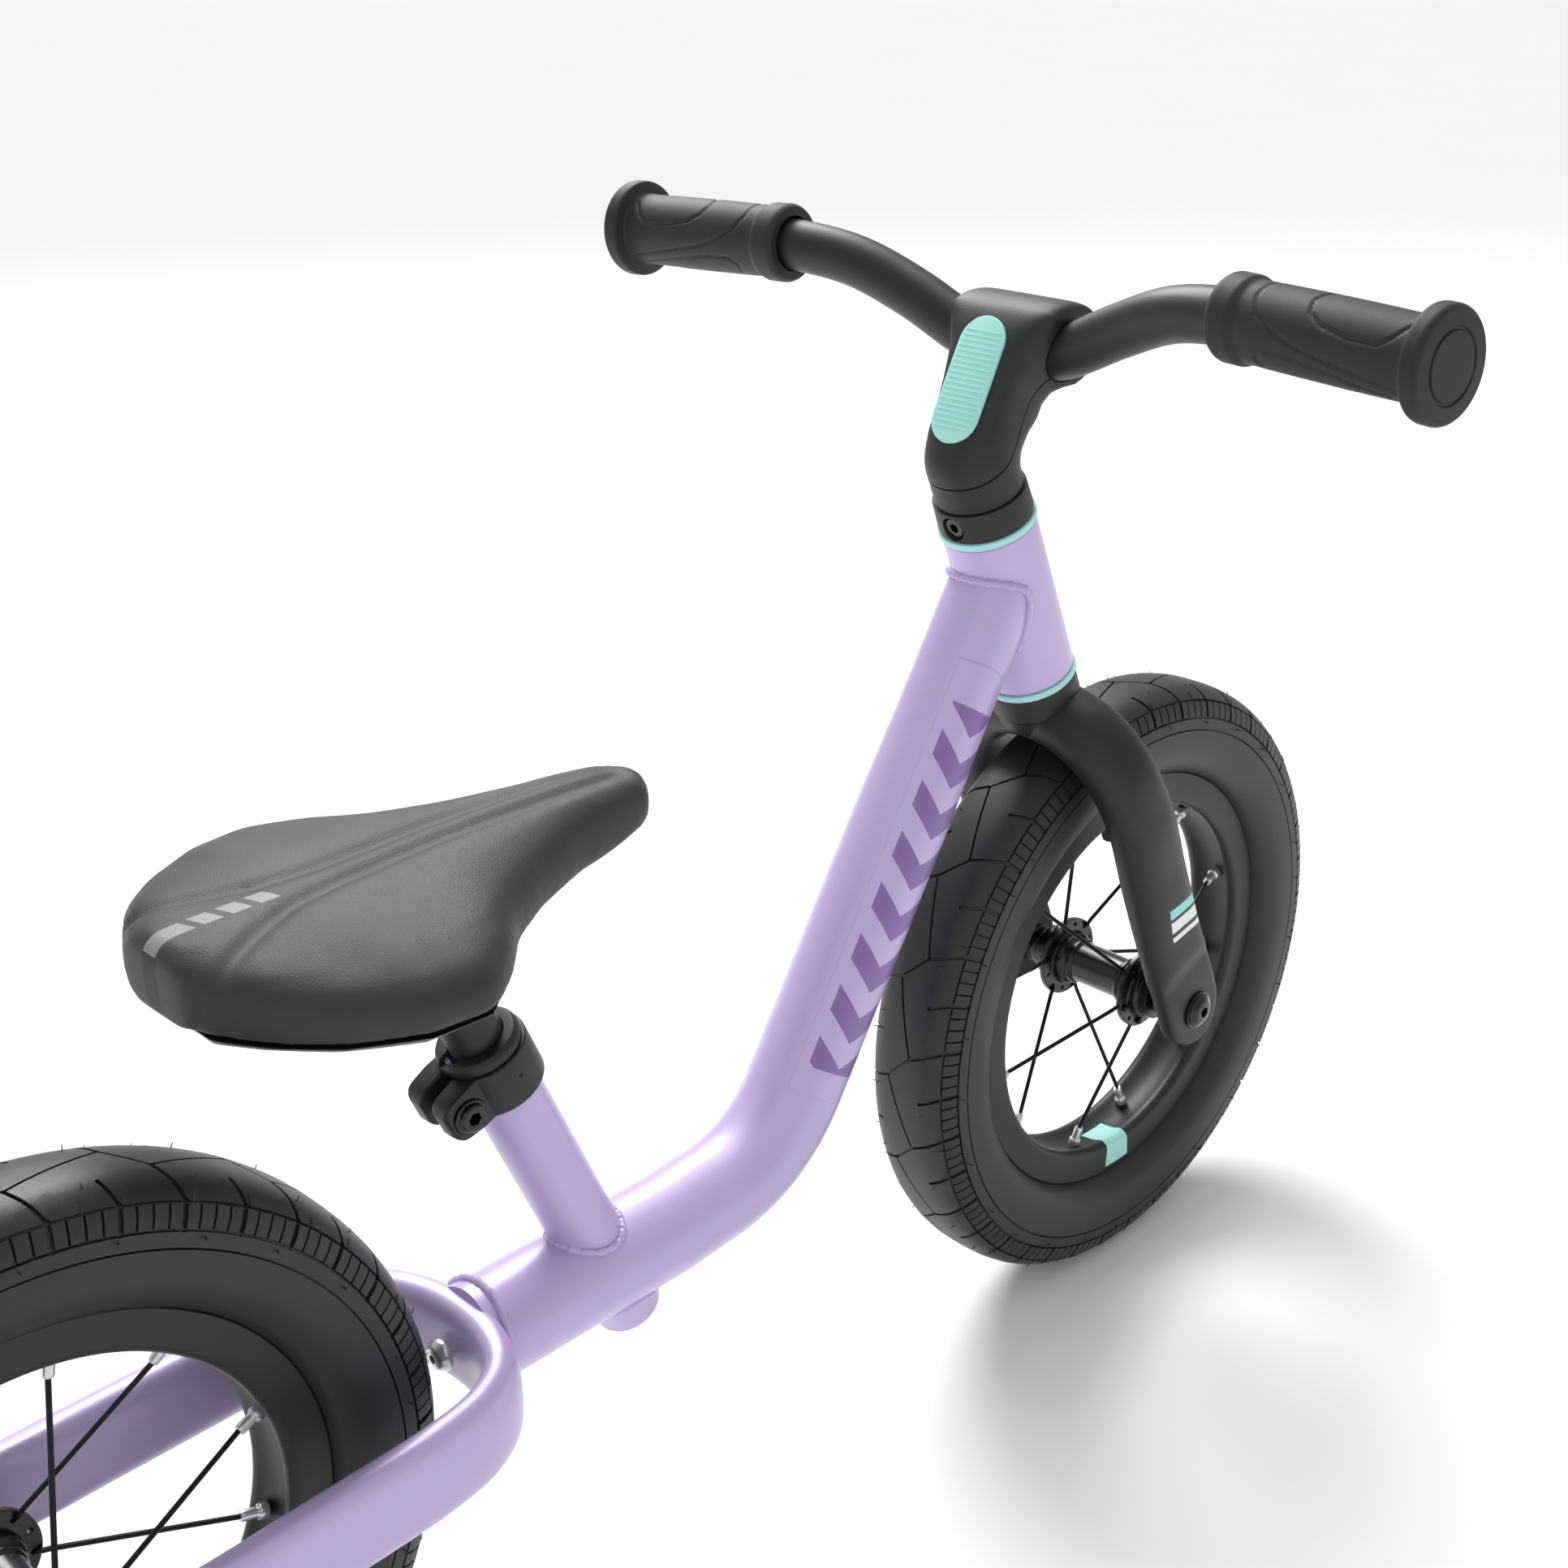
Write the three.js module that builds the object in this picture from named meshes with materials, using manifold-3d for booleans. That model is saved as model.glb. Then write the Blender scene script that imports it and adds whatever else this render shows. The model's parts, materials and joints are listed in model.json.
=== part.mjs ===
// Balance bike with 12 inch wheels, in millimetres, +Z up, +X forward, +Y to the rider's left.
// The rear axle is at x = 0 inside the bike group, and the bike group is moved back by half the
// wheelbase, so the finished part is centred over the origin and stands on z = 0.
import * as THREE from "three";
import { mergeVertices } from "three/addons/utils/BufferGeometryUtils.js";
import Module from "manifold-3d";

const wasm = await Module();
wasm.setup();

// Wheels
const TYRE_R = 152;
const WHEELBASE = 566;
const WHEEL_SEGMENTS = 32;
const SPOKES_PER_SIDE = 6;
const FLANGE_Y = 24;
const FLANGE_R = 20;
const FIRST_SPOKE_LEFT = 45;
const FIRST_SPOKE_RIGHT = 15;
const AXLE_R = 5;
const LUG_INNER_Y = 46.5;
const LUG_OUTER_Y = 56.4;
const LUG_R = 19;

// Head, measured along the steering axis from the top ring
const HEAD_X = 469.9;
const HEAD_Z = 408.5;
const HEAD_ANGLE = 68.5;
const HEAD_LENGTH = 82.6;
const HEAD_R = 20.8;
const STEERER_R = 14.2;

// Frame tubes
const MAIN_R = 20.8;
const MAIN_Z = 153.2;
const MAIN_RISE_DEG = 56.9;
const MAIN_CORNER_X = 329.6;
const MAIN_BEND_R = 67.5;
const SEAT_X = 223.1;
const SEAT_Z = 200;
const SEAT_ANGLE = 68;
const SEAT_TUBE_R = 13.6;
const POST_R = 10.6;
const STAY_Z = 153;
const STAY_HEIGHT = 36;
const STAY_THICKNESS = 15;

// Bar
const BAR_R = 11.1;
const GRIP_END_Y = 211;
const GAP = 0.3;

const deg = THREE.MathUtils.degToRad;

const PAINT = { color: 0xc4b2da, roughness: 0.35, metalness: 0.1 };
const MINT = { color: 0xa9e8e4, roughness: 0.5, metalness: 0 };
const BLACK_PAINT = { color: 0x333436, roughness: 0.5, metalness: 0.1 };
const BLACK_PLASTIC = { color: 0x2f3032, roughness: 0.65, metalness: 0 };
const RUBBER = { color: 0x303234, roughness: 0.85, metalness: 0 };
const TYRE = { color: 0x3a3c3e, roughness: 0.85, metalness: 0 };
const BLACK_STEEL = { color: 0x26272a, roughness: 0.35, metalness: 0.8 };
const BRIGHT_STEEL = { color: 0xd8dadc, roughness: 0.25, metalness: 0.9 };

function material(look) {
  return new THREE.MeshStandardMaterial(look);
}

function part(group, name, geometry, look) {
  const mesh = new THREE.Mesh(geometry, material(look));
  mesh.name = name;
  group.add(mesh);
  return mesh;
}

// Booleans ---------------------------------------------------------------------------------

function welded(geometry) {
  const bare = geometry.index ? geometry.clone() : mergeVertices(geometry.clone());
  bare.deleteAttribute("normal");
  bare.deleteAttribute("uv");
  return mergeVertices(bare, 1e-4);
}

function solid(geometry) {
  const g = welded(geometry);
  const mesh = new wasm.Mesh({
    numProp: 3,
    vertProperties: new Float32Array(g.attributes.position.array),
    triVerts: new Uint32Array(g.index.array),
  });
  const body = new wasm.Manifold(mesh);
  return body.volume() < 0 ? solid(flipped(g)) : body;
}

function flipped(geometry) {
  const g = geometry.clone();
  const index = Array.from(g.index.array);
  for (let i = 0; i < index.length; i += 3) {
    const swap = index[i];
    index[i] = index[i + 1];
    index[i + 1] = swap;
  }
  g.setIndex(index);
  return g;
}

function shape(body) {
  const mesh = body.getMesh();
  const g = new THREE.BufferGeometry();
  g.setAttribute("position", new THREE.BufferAttribute(new Float32Array(mesh.vertProperties), 3));
  g.setIndex(Array.from(mesh.triVerts));
  g.computeVertexNormals();
  return g;
}

function join(...geometries) {
  return shape(geometries.map(solid).reduce((all, one) => all.add(one)));
}

function cut(geometry, ...tools) {
  return shape(tools.map(solid).reduce((left, tool) => left.subtract(tool), solid(geometry)));
}

function common(a, b) {
  return shape(solid(a).intersect(solid(b)));
}

// Basic shapes -----------------------------------------------------------------------------

// A solid turned about the Y axis from [radius, y] pairs. A ring's profile closes on itself.
function turnedY(pairs, segments = 24, closed = false) {
  const points = pairs.map(([r, y]) => new THREE.Vector2(r, y));
  if (closed) {
    points.push(points[0].clone());
  }
  return shape(solid(new THREE.LatheGeometry(points, segments)));
}

// The same about the Z axis, from [radius, z] pairs.
function turnedZ(pairs, segments = 24, closed = false) {
  return turnedY(pairs, segments, closed).rotateX(Math.PI / 2);
}

function rodZ(radius, z0, z1, segments = 24) {
  const g = new THREE.CylinderGeometry(radius, radius, z1 - z0, segments);
  return g.rotateX(Math.PI / 2).translate(0, 0, (z0 + z1) / 2);
}

function rodY(radius, y0, y1, segments = 24) {
  const g = new THREE.CylinderGeometry(radius, radius, y1 - y0, segments);
  return g.translate(0, (y0 + y1) / 2, 0);
}

function rodX(radius, x0, x1, segments = 24) {
  const g = new THREE.CylinderGeometry(radius, radius, x1 - x0, segments);
  return g.rotateZ(Math.PI / 2).translate((x0 + x1) / 2, 0, 0);
}

function block(x0, x1, y0, y1, z0, z1) {
  const g = new THREE.BoxGeometry(x1 - x0, y1 - y0, z1 - z0);
  return g.translate((x0 + x1) / 2, (y0 + y1) / 2, (z0 + z1) / 2);
}

// A side outline in X and Z, made as thick as the stretch from y0 to y1.
function plateY(pairs, y0, y1, bevel = 0) {
  const outline = new THREE.Shape(pairs.map(([x, z]) => new THREE.Vector2(x, z)));
  const options = {
    depth: y1 - y0 - 2 * bevel,
    bevelEnabled: bevel > 0,
    bevelThickness: bevel,
    bevelSize: bevel,
    bevelOffset: -bevel,
    bevelSegments: 2,
  };
  return new THREE.ExtrudeGeometry(outline, options).rotateX(Math.PI / 2).translate(0, y1 - bevel, 0);
}

// A cylinder bent along a path. size(t) gives the two half sizes of the section: the first one
// lies along the wide direction, the second across it. power above 2 squares the section off.
function bent(path, size, wide, sides = 16, steps = 16, power = 2) {
  const g = new THREE.CylinderGeometry(1, 1, 1, sides, steps);
  const position = g.attributes.position;
  const vertex = new THREE.Vector3();
  for (let i = 0; i < position.count; i += 1) {
    vertex.fromBufferAttribute(position, i);
    const t = vertex.y + 0.5;
    const centre = path.getPoint(t);
    const along = path.getTangent(t);
    const across = wide.clone().addScaledVector(along, -wide.dot(along)).normalize();
    const side = new THREE.Vector3().crossVectors(along, across);
    const [a, b] = size(t);
    const u = Math.sign(vertex.x) * Math.abs(vertex.x) ** (2 / power);
    const v = Math.sign(vertex.z) * Math.abs(vertex.z) ** (2 / power);
    centre.addScaledVector(across, a * u).addScaledVector(side, b * v);
    position.setXYZ(i, centre.x, centre.y, centre.z);
  }
  return shape(solid(g));
}

// A round tube along a path.
function tubeAlong(path, radius, sides, steps) {
  const section = new THREE.Shape();
  section.absarc(0, 0, radius, 0, 2 * Math.PI, false);
  const options = { steps, extrudePath: path, curveSegments: sides, bevelEnabled: false };
  return shape(solid(new THREE.ExtrudeGeometry(section, options)));
}

// A path through points that also passes exactly through its first and last one.
function curve(points) {
  return new THREE.CatmullRomCurve3(points.map((p) => new THREE.Vector3(...p)), false, "centripetal");
}

function eased(t, stops) {
  const last = stops.length - 1;
  const place = Math.min(t * last, last - 1e-9);
  const i = Math.floor(place);
  const f = place - i;
  const s = f * f * (3 - 2 * f);
  return stops[i].map((value, k) => value * (1 - s) + stops[i + 1][k] * s);
}

// Wheels -----------------------------------------------------------------------------------

function mirrored(half) {
  return half.concat(half.slice(0, -1).reverse().map(([r, y]) => [r, -y]).slice(0, -1));
}

// The tyre's outer skin from the crown to the bead, then its inner skin back to the middle.
function tyre() {
  const half = [
    [TYRE_R, 0], [150.4, 13.5], [144.5, 20.8], [131, 24.3], [117, 22.6], [108, 14.6],
    [107.4, 12.3], [101.2, 12.1], [100.6, 8.8], [113, 13.5], [131, 19.5], [144.6, 12], [146.6, 0],
  ];
  return turnedY(mirrored(half), WHEEL_SEGMENTS, true);
}

// A deep rim with flat side bands and a hollowed inner face.
function rim() {
  const half = [
    [92.6, 0], [91.2, 10.5], [94.5, 14.5], [107, 14.5], [107, 12.6], [99.9, 12.6],
    [96.4, 7.5], [96.4, 0],
  ];
  const ring = turnedY(mirrored(half), WHEEL_SEGMENTS, true);
  return cut(ring, rodZ(3.6, 80, 103, 8));
}

// The inner tube and its valve, which comes through the rim at the top of the wheel.
function innerTube() {
  const outer = turnedY([[102.6, -5], [102.6, 5], [119, 14.5], [136, 14.5], [141, 0], [136, -14.5], [119, -14.5]], 20, true);
  const inner = turnedY([[105, -4], [105, 4], [120, 12], [135, 11], [135, -11], [120, -12]], 20, true);
  const stem = rodZ(3, 74.5, 106, 8);
  const cap = rodZ(4.2, 72.4, 84, 8);
  const bore = rodZ(1.6, 70, 112, 5);
  return cut(join(outer, stem, cap), inner, bore);
}

function hub() {
  const half = [
    [10.6, 0], [10.6, 15], [13, 18], [13, FLANGE_Y - 1.5], [FLANGE_R, FLANGE_Y - 1.5],
    [FLANGE_R, FLANGE_Y + 1.5], [14, FLANGE_Y + 1.5], [13, 35], [AXLE_R + GAP, 35],
    [AXLE_R + GAP, 0],
  ];
  return turnedY(mirrored(half), 16, true);
}

// One radial spoke with its nipple, from the inner face of a flange to the rim.
function spoke(side) {
  const start = new THREE.Vector3(0, side * (FLANGE_Y - 2.9), 14.6);
  const end = new THREE.Vector3(0, side * 3, 90.6);
  const length = start.distanceTo(end);
  const profile = [[0, 0], [1, 0], [1, length - 7], [2, length - 6.4], [2, length], [0, length]];
  const g = turnedY(profile, 5);
  g.applyQuaternion(new THREE.Quaternion().setFromUnitVectors(
    new THREE.Vector3(0, 1, 0),
    end.clone().sub(start).normalize(),
  ));
  return g.translate(start.x, start.y, start.z);
}

function wheel(group, name) {
  part(group, `${name}_tyre`, tyre(), TYRE);
  part(group, `${name}_rim`, rim(), BLACK_PAINT);
  part(group, `${name}_inner_tube`, innerTube(), RUBBER);
  part(group, `${name}_hub`, hub(), BLACK_STEEL);
  for (const [side, label, first] of [[1, "left", FIRST_SPOKE_LEFT], [-1, "right", FIRST_SPOKE_RIGHT]]) {
    for (let i = 0; i < SPOKES_PER_SIDE; i += 1) {
      const mesh = part(group, `${name}_spoke_${label}_${i + 1}`, spoke(side), BLACK_STEEL);
      mesh.rotation.y = deg(90 - first - (360 / SPOKES_PER_SIDE) * i);
    }
  }
}

// The axle with its spacers, and a fixed head outside the right lug.
function axle() {
  const profile = [
    [0, -61], [5.5, -60.6], [8.6, -58.4], [8.6, -LUG_OUTER_Y - GAP], [AXLE_R, -LUG_OUTER_Y - GAP],
    [AXLE_R, -LUG_INNER_Y + GAP], [9.6, -LUG_INNER_Y + GAP], [9.6, -37], [7.6, -35.4],
    [AXLE_R, -35.4], [AXLE_R, 35.4], [7.6, 35.4], [9.6, 37], [9.6, LUG_INNER_Y - GAP],
    [AXLE_R, LUG_INNER_Y - GAP], [AXLE_R, LUG_OUTER_Y + 0.2], [0, LUG_OUTER_Y + 0.2],
  ];
  return cut(turnedY(profile, 14), socket(-61.5, -58.2));
}

function socket(y0, y1) {
  return rodY(3, y0, y1, 6);
}

// The bolt that closes the axle on the left.
function axleBolt() {
  const y = LUG_OUTER_Y + 0.5;
  const head = turnedY([[0, y], [8.6, y], [8.6, 58.6], [5.5, 60.6], [0, 61]], 14);
  return cut(head, socket(58.4, 61.5));
}

// Frame ------------------------------------------------------------------------------------

function mainTubePath() {
  const rise = deg(MAIN_RISE_DEG);
  const set = MAIN_BEND_R * Math.tan(rise / 2);
  const up = new THREE.Vector3(Math.cos(rise), 0, Math.sin(rise));
  const corner = new THREE.Vector3(MAIN_CORNER_X, 0, MAIN_Z + 1.6);
  const bendStart = corner.clone().add(new THREE.Vector3(-set, 0, 0));
  const bendEnd = corner.clone().addScaledVector(up, set);
  const path = new THREE.CurvePath();
  path.add(new THREE.LineCurve3(new THREE.Vector3(160, 0, MAIN_Z), bendStart));
  path.add(new THREE.QuadraticBezierCurve3(bendStart, corner, bendEnd));
  path.add(new THREE.LineCurve3(bendEnd, bendEnd.clone().addScaledVector(up, 232)));
  return path;
}

// A point at distance d along the steering axis below the top ring.
function headPoint(d) {
  const a = deg(HEAD_ANGLE);
  return new THREE.Vector3(HEAD_X + d * Math.cos(a), 0, HEAD_Z - d * Math.sin(a));
}

function tiltFromZ(angle) {
  return -deg(90 - angle);
}

function headBlank(radius, d0, d1, segments = 28) {
  const g = rodZ(radius, -d1, -d0, segments).rotateY(tiltFromZ(HEAD_ANGLE));
  return g.translate(HEAD_X, 0, HEAD_Z);
}

function seatBlank(radius, s0, s1, segments = 24) {
  return rodZ(radius, s0, s1, segments).rotateY(tiltFromZ(SEAT_ANGLE)).translate(SEAT_X, 0, SEAT_Z);
}

const Y_AXIS = new THREE.Vector3(0, 1, 0);
const Z_AXIS = new THREE.Vector3(0, 0, 1);

function mainTube() {
  const path = mainTubePath();
  const outer = tubeAlong(path, MAIN_R, 20, 16);
  const inner = tubeAlong(path, MAIN_R - 2.2, 12, 16);
  const tube = cut(outer, inner);
  return cut(
    tube,
    headBlank(HEAD_R + GAP, -20, 110),
    seatBlank(SEAT_TUBE_R + GAP, -120, 60),
    stayEnvelope(),
  );
}

function headTube() {
  const bottom = HEAD_LENGTH - 2;
  return cut(headBlank(HEAD_R, 2, bottom), headBlank(STEERER_R + 0.8, -5, bottom + 10));
}

// The seat tube runs through the main tube and ends in a short stub below it. The rear of its
// top is slotted, so the clamp can close it.
function seatTube() {
  const wall = cut(seatBlank(SEAT_TUBE_R, -80.5, 82), seatBlank(11.7, -60, 90));
  const slot = block(-20, 0, -1.5, 1.5, 50, 90).rotateY(tiltFromZ(SEAT_ANGLE)).translate(SEAT_X, 0, SEAT_Z);
  return cut(wall, slot);
}

const STAY_POINTS = [
  [-6, 51.4], [30, 51.2], [92, 50.4], [128, 49.6], [150, 45.6], [165, 36], [173, 20], [175.6, 0],
];

function stayPath() {
  const left = STAY_POINTS.map(([x, y]) => [x, y, STAY_Z]);
  const right = STAY_POINTS.slice(0, -1).reverse().map(([x, y]) => [x, -y, STAY_Z]);
  return curve(left.concat(right));
}

function staySize(t, inset = 0) {
  const end = Math.min(t, 1 - t);
  const flat = THREE.MathUtils.smoothstep(end, 0.06, 0.2);
  const half = THREE.MathUtils.lerp(4.9, STAY_THICKNESS / 2, flat);
  return [STAY_HEIGHT / 2 - inset, half - inset];
}

// A round face that follows the front of the loop, used to trim the tube welded to it.
function stayEnvelope() {
  return rodZ(75, 100, 200, 60).translate(183.8 - 75, 0, 0);
}

function stayLug(side) {
  const y0 = side > 0 ? LUG_INNER_Y : -LUG_OUTER_Y;
  return rodY(LUG_R, y0, y0 + LUG_OUTER_Y - LUG_INNER_Y, 24).translate(0, 0, TYRE_R);
}

// One flattened tube bent round the front of the rear tyre, with a flat lug at each end.
function stayLoop() {
  const outer = bent(stayPath(), (t) => staySize(t), Z_AXIS, 12, 28, 2.4);
  const core = new THREE.CatmullRomCurve3(stayPath().getSpacedPoints(40).slice(8, 33), false, "centripetal");
  const inner = bent(core, () => [STAY_HEIGHT / 2 - 2.4, STAY_THICKNESS / 2 - 2.4], Z_AXIS, 6, 14);
  const body = join(outer, stayLug(1), stayLug(-1));
  const axleHole = rodY(AXLE_R + GAP, -70, 70, 18).translate(0, 0, TYRE_R);
  const boltHole = rodX(3.4, 140, 178, 12).translate(0, 0, STAY_Z);
  return cut(body, inner, axleHole, boltHole);
}

// The button bolt on the inner front face of the loop.
function bridgeBolt() {
  const profile = [[0, 160.4], [4.4, 161], [6.6, 164.2], [6.6, 165.4], [3, 165.4], [3, 174.5], [0, 174.5]];
  const bolt = turnedZ(profile, 14).rotateY(Math.PI / 2);
  return cut(bolt, rodX(2, 159, 163.5, 6)).translate(0, 0, STAY_Z);
}

// Seat -------------------------------------------------------------------------------------
// These are built along the seat tube's own axis, which is local Z, with local X forward.

function seatClamp() {
  const ring = rodZ(17.2, 59, 79, 28);
  const ears = plateY([[-29, 62], [-27, 60], [-10, 59], [-10, 79], [-25, 79], [-29, 75]], -12, 12, 1.2);
  const bore = rodZ(SEAT_TUBE_R + GAP, 50, 90, 24);
  const slot = block(-40, 0, -3, 3, 50, 90);
  const boltHole = rodY(3.3, -20, 20, 12).translate(-20.5, 0, 68.5);
  return cut(join(ring, ears), bore, slot, boltHole);
}

function seatClampBolt() {
  const profile = [[0, -16.4], [4.6, -16.2], [5.6, -15.2], [5.6, -12.3], [3, -12.3], [3, 11.6], [0, 11.6]];
  const bolt = cut(turnedY(profile, 16), rodY(2.6, -17, -13.6, 6));
  return bolt.translate(-20.5, 0, 68.5);
}

// The bush between the seat tube and the seat post, with a lip on top of the tube.
function postSleeve() {
  const bore = POST_R + GAP;
  const lip = [[bore, 50], [11.4, 50], [11.4, 82.3], [SEAT_TUBE_R + 0.4, 82.3], [SEAT_TUBE_R, 84.6], [bore, 84.6]];
  return turnedZ(lip, 24, true);
}

function seatPost() {
  return cut(rodZ(POST_R, -40, 126.5, 24), rodZ(8.4, -60, 118, 16));
}

// The saddle is built in level coordinates: x forward from the rear axle, z above the floor.
const SADDLE_STATIONS = [
  [76, 18, 346.5, 14], [81.9, 30, 345, 17.5], [91.6, 47, 344, 18.5], [107.1, 63, 342.4, 19.5],
  [128.4, 75.5, 341.5, 20.9], [149.8, 78, 342, 20.3], [165.3, 66, 343.4, 19.7], [180.8, 49, 344.4, 19.3],
  [204.1, 34, 345.5, 18.2], [229.3, 23.5, 346.7, 17], [250.7, 19.5, 347.8, 15.2], [265.2, 16, 348.5, 12.5],
  [272, 8, 349, 9.6],
];

function saddleHalfWidth(t) {
  return eased(t, SADDLE_STATIONS.map((s) => [s[1], s[3]]));
}

function saddleCover() {
  const path = curve(SADDLE_STATIONS.map((s) => [s[0], 0, s[2]]));
  const steps = SADDLE_STATIONS.length - 1;
  const crowned = bent(path, (t) => saddleHalfWidth(t), Y_AXIS, 20, steps + 6, 2.6);
  return cut(crowned, block(0, 320, -90, 90, 280, 334), seatTop(0.3));
}

// The black plastic pan under the cover, with the socket that holds the post.
function saddleBase() {
  const path = curve(SADDLE_STATIONS.map((s) => [s[0], 0, s[2]]));
  const pan = bent(path, (t) => saddleHalfWidth(t).map((v) => v - 1), Y_AXIS, 16, 16, 2.6);
  const slab = common(pan, block(60, 290, -80, 80, 322, 333.7));
  const neck = seatBlank(16, 108, 142, 20);
  const undercut = plateY([[55, 350], [73.5, 343], [94, 321], [55, 321]], -90, 90);
  const body = join(cut(slab, undercut), common(neck, block(100, 260, -40, 40, 280, 333.7)));
  return cut(body, seatTop(0.3));
}

function seatTop(gap) {
  return seatBlank(POST_R + gap, 60, 126.5 + gap, 24);
}

// Steering ---------------------------------------------------------------------------------
// These are built along the steering axis, which is local Z, with local X forward.

function ring(z0, z1, outer, inner, segments = 28) {
  return turnedZ([[inner, z0], [outer, z0], [outer, z1], [inner, z1]], segments, true);
}

function axleLocal() {
  const a = deg(HEAD_ANGLE);
  const dx = WHEELBASE - HEAD_X;
  const dz = TYRE_R - HEAD_Z;
  return [dx * Math.sin(a) + dz * Math.cos(a), -dx * Math.cos(a) + dz * Math.sin(a)];
}

function legPoints(side) {
  const [x, z] = axleLocal();
  const down = (s) => -HEAD_LENGTH - s;
  return [
    [0, 0, down(21)], [0, side * 16, down(23.5)], [0, side * 30, down(32)], [0, side * 40, down(47)],
    [0, side * 45.6, down(72)], [x * 0.4, side * 46.8, down(110)], [x * 0.8, side * 49, down(150)],
    [x, side * 51.3, z + 14], [x, side * 51.45, z + 1],
  ];
}

function forkLeg(side) {
  const sizes = [
    [16.3, 12.5], [16.6, 12.8], [17, 13.6], [17, 13.8], [17.2, 12.8], [17.8, 11.4], [18.6, 8.2],
    [18.9, 5.2], [18.9, 4.9],
  ];
  const path = curve(legPoints(side));
  const leg = bent(path, (t) => eased(t, sizes), new THREE.Vector3(1, 0, 0), 14, 16, 2.3);
  const [x, z] = axleLocal();
  const y0 = side > 0 ? LUG_INNER_Y : -LUG_OUTER_Y;
  const lug = rodY(LUG_R, y0, y0 + LUG_OUTER_Y - LUG_INNER_Y, 24).translate(x, 0, z);
  const hole = rodY(AXLE_R + GAP, -70, 70, 18).translate(x, 0, z);
  const inner = side > 0 ? block(-40, 40, -60, 17.9, -200, 0) : block(-40, 40, -17.9, 60, -200, 0);
  const shoulder = rodZ(HEAD_R - 0.4 + GAP, -HEAD_LENGTH - 18.3, -HEAD_LENGTH, 28);
  return cut(join(leg, lug), hole, inner, shoulder);
}

// The steerer, its shoulder under the head tube and the middle of the crown.
function forkCrown() {
  const path = curve(legPoints(-1).slice(0, 4).reverse().concat(legPoints(1).slice(1, 4)));
  const arch = bent(path, () => [16.4, 12.5], new THREE.Vector3(1, 0, 0), 14, 10, 2.3);
  const middle = common(arch, block(-40, 40, -17.6, 17.6, -200, 0));
  const shoulder = rodZ(HEAD_R - 0.4, -HEAD_LENGTH - 18, -HEAD_LENGTH - 2, 28);
  const steerer = rodZ(STEERER_R, -HEAD_LENGTH - 10, 28, 24);
  const bore = rodZ(STEERER_R - 2.4, -HEAD_LENGTH + 2, 40, 18);
  return cut(join(middle, shoulder, steerer), bore);
}

function collar() {
  const outer = turnedZ([[0, 1.9], [HEAD_R - 0.1, 1.9], [HEAD_R + 0.1, 4], [20.4, 15.2], [0, 15.2]], 28);
  return cut(outer, rodZ(STEERER_R + GAP, -5, 30, 24), rodX(4.9, -30, -12, 16).translate(0, 0, 8.3));
}

function collarBolt() {
  const body = rodX(4.6, -20.2, -15, 16);
  return cut(body, rodX(2.6, -22, -17.6, 6)).translate(0, 0, 8.3);
}

const CLAMP_X = 44.5;
const CLAMP_Z = 55.6;

function stemBlank() {
  const side = [
    [-19.3, 15.8], [19.3, 15.8], [19.6, 22], [24, 29], [36, 36], [44, 36.5], [56, 40], [64, 48],
    [67, 57], [64, 69], [56, 77], [46, 81], [38, 81.2], [31, 79], [-12, 44.5], [-19, 36],
  ];
  const neck = plateY(side, -18.4, 18.4, 6);
  const foot = rodZ(19.3, 15.8, 34, 28);
  const barrel = rodY(22, -28, 28, 26).translate(CLAMP_X, 0, CLAMP_Z + 2);
  return join(neck, foot, barrel);
}

const SEAM = [
  [-60, 28], [-14, 28], [2, 30.5], [9, 34.5], [17, 42.5], [26, 50], [36, 53.5], [100, 53.5],
];

function aboveSeam(offset) {
  return plateY(SEAM.map(([x, z]) => [x, z + offset]).concat([[100, 120], [-60, 120]]), -60, 60);
}

function belowSeam(offset) {
  return plateY(SEAM.map(([x, z]) => [x, z - offset]).concat([[100, -20], [-60, -20]]), -60, 60);
}

// The pad lies on the stem's sloping back, so it is drawn flat and then tipped up.
function padBlank(halfWidth, length, z0, z1) {
  const straight = length / 2 - halfWidth;
  const outline = new THREE.Shape();
  outline.absarc(straight, 0, halfWidth, -Math.PI / 2, Math.PI / 2, false);
  outline.absarc(-straight, 0, halfWidth, Math.PI / 2, (3 * Math.PI) / 2, false);
  const g = new THREE.ExtrudeGeometry(outline, { depth: z1 - z0, bevelEnabled: false, curveSegments: 8 });
  return g.translate(0, 0, z0).rotateY(-deg(38.8)).translate(9.5, 0, 61.8);
}

function stemHoles() {
  const level = tubeAlong(barPath(), BAR_R + GAP, 12, 24);
  const bar = level.translate(-HEAD_X, 0, -HEAD_Z).rotateY(-tiltFromZ(HEAD_ANGLE));
  const well = rodZ(STEERER_R + GAP, 0, 28.6, 24);
  return [bar, well];
}

function stemCover() {
  return cut(common(stemBlank(), aboveSeam(0.15)), ...stemHoles(), padBlank(10.9, 52.6, -1.6, 12));
}

function stemBody() {
  return cut(common(stemBlank(), belowSeam(0.15)), ...stemHoles());
}

function stemPad() {
  return padBlank(10.6, 52, -1.3, 1.2);
}

// The bar is drawn in level coordinates and mirrored about the middle plane.
function barPath() {
  const half = [
    [490.7, 0, 476.5], [490.2, 14, 477.2], [488, 28, 481.5], [484.6, 56, 494.5], [479, 84, 505.2],
    [473, 112, 509.4], [470.3, 136, 509.6], [466.5, 174, 508.6], [463.2, GRIP_END_Y - 1.5, 507.7],
  ];
  const left = half.slice(1).reverse().map(([x, y, z]) => [x, y, z]);
  const right = half.map(([x, y, z]) => [x, -y, z]);
  return curve(left.concat(right));
}

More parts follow.
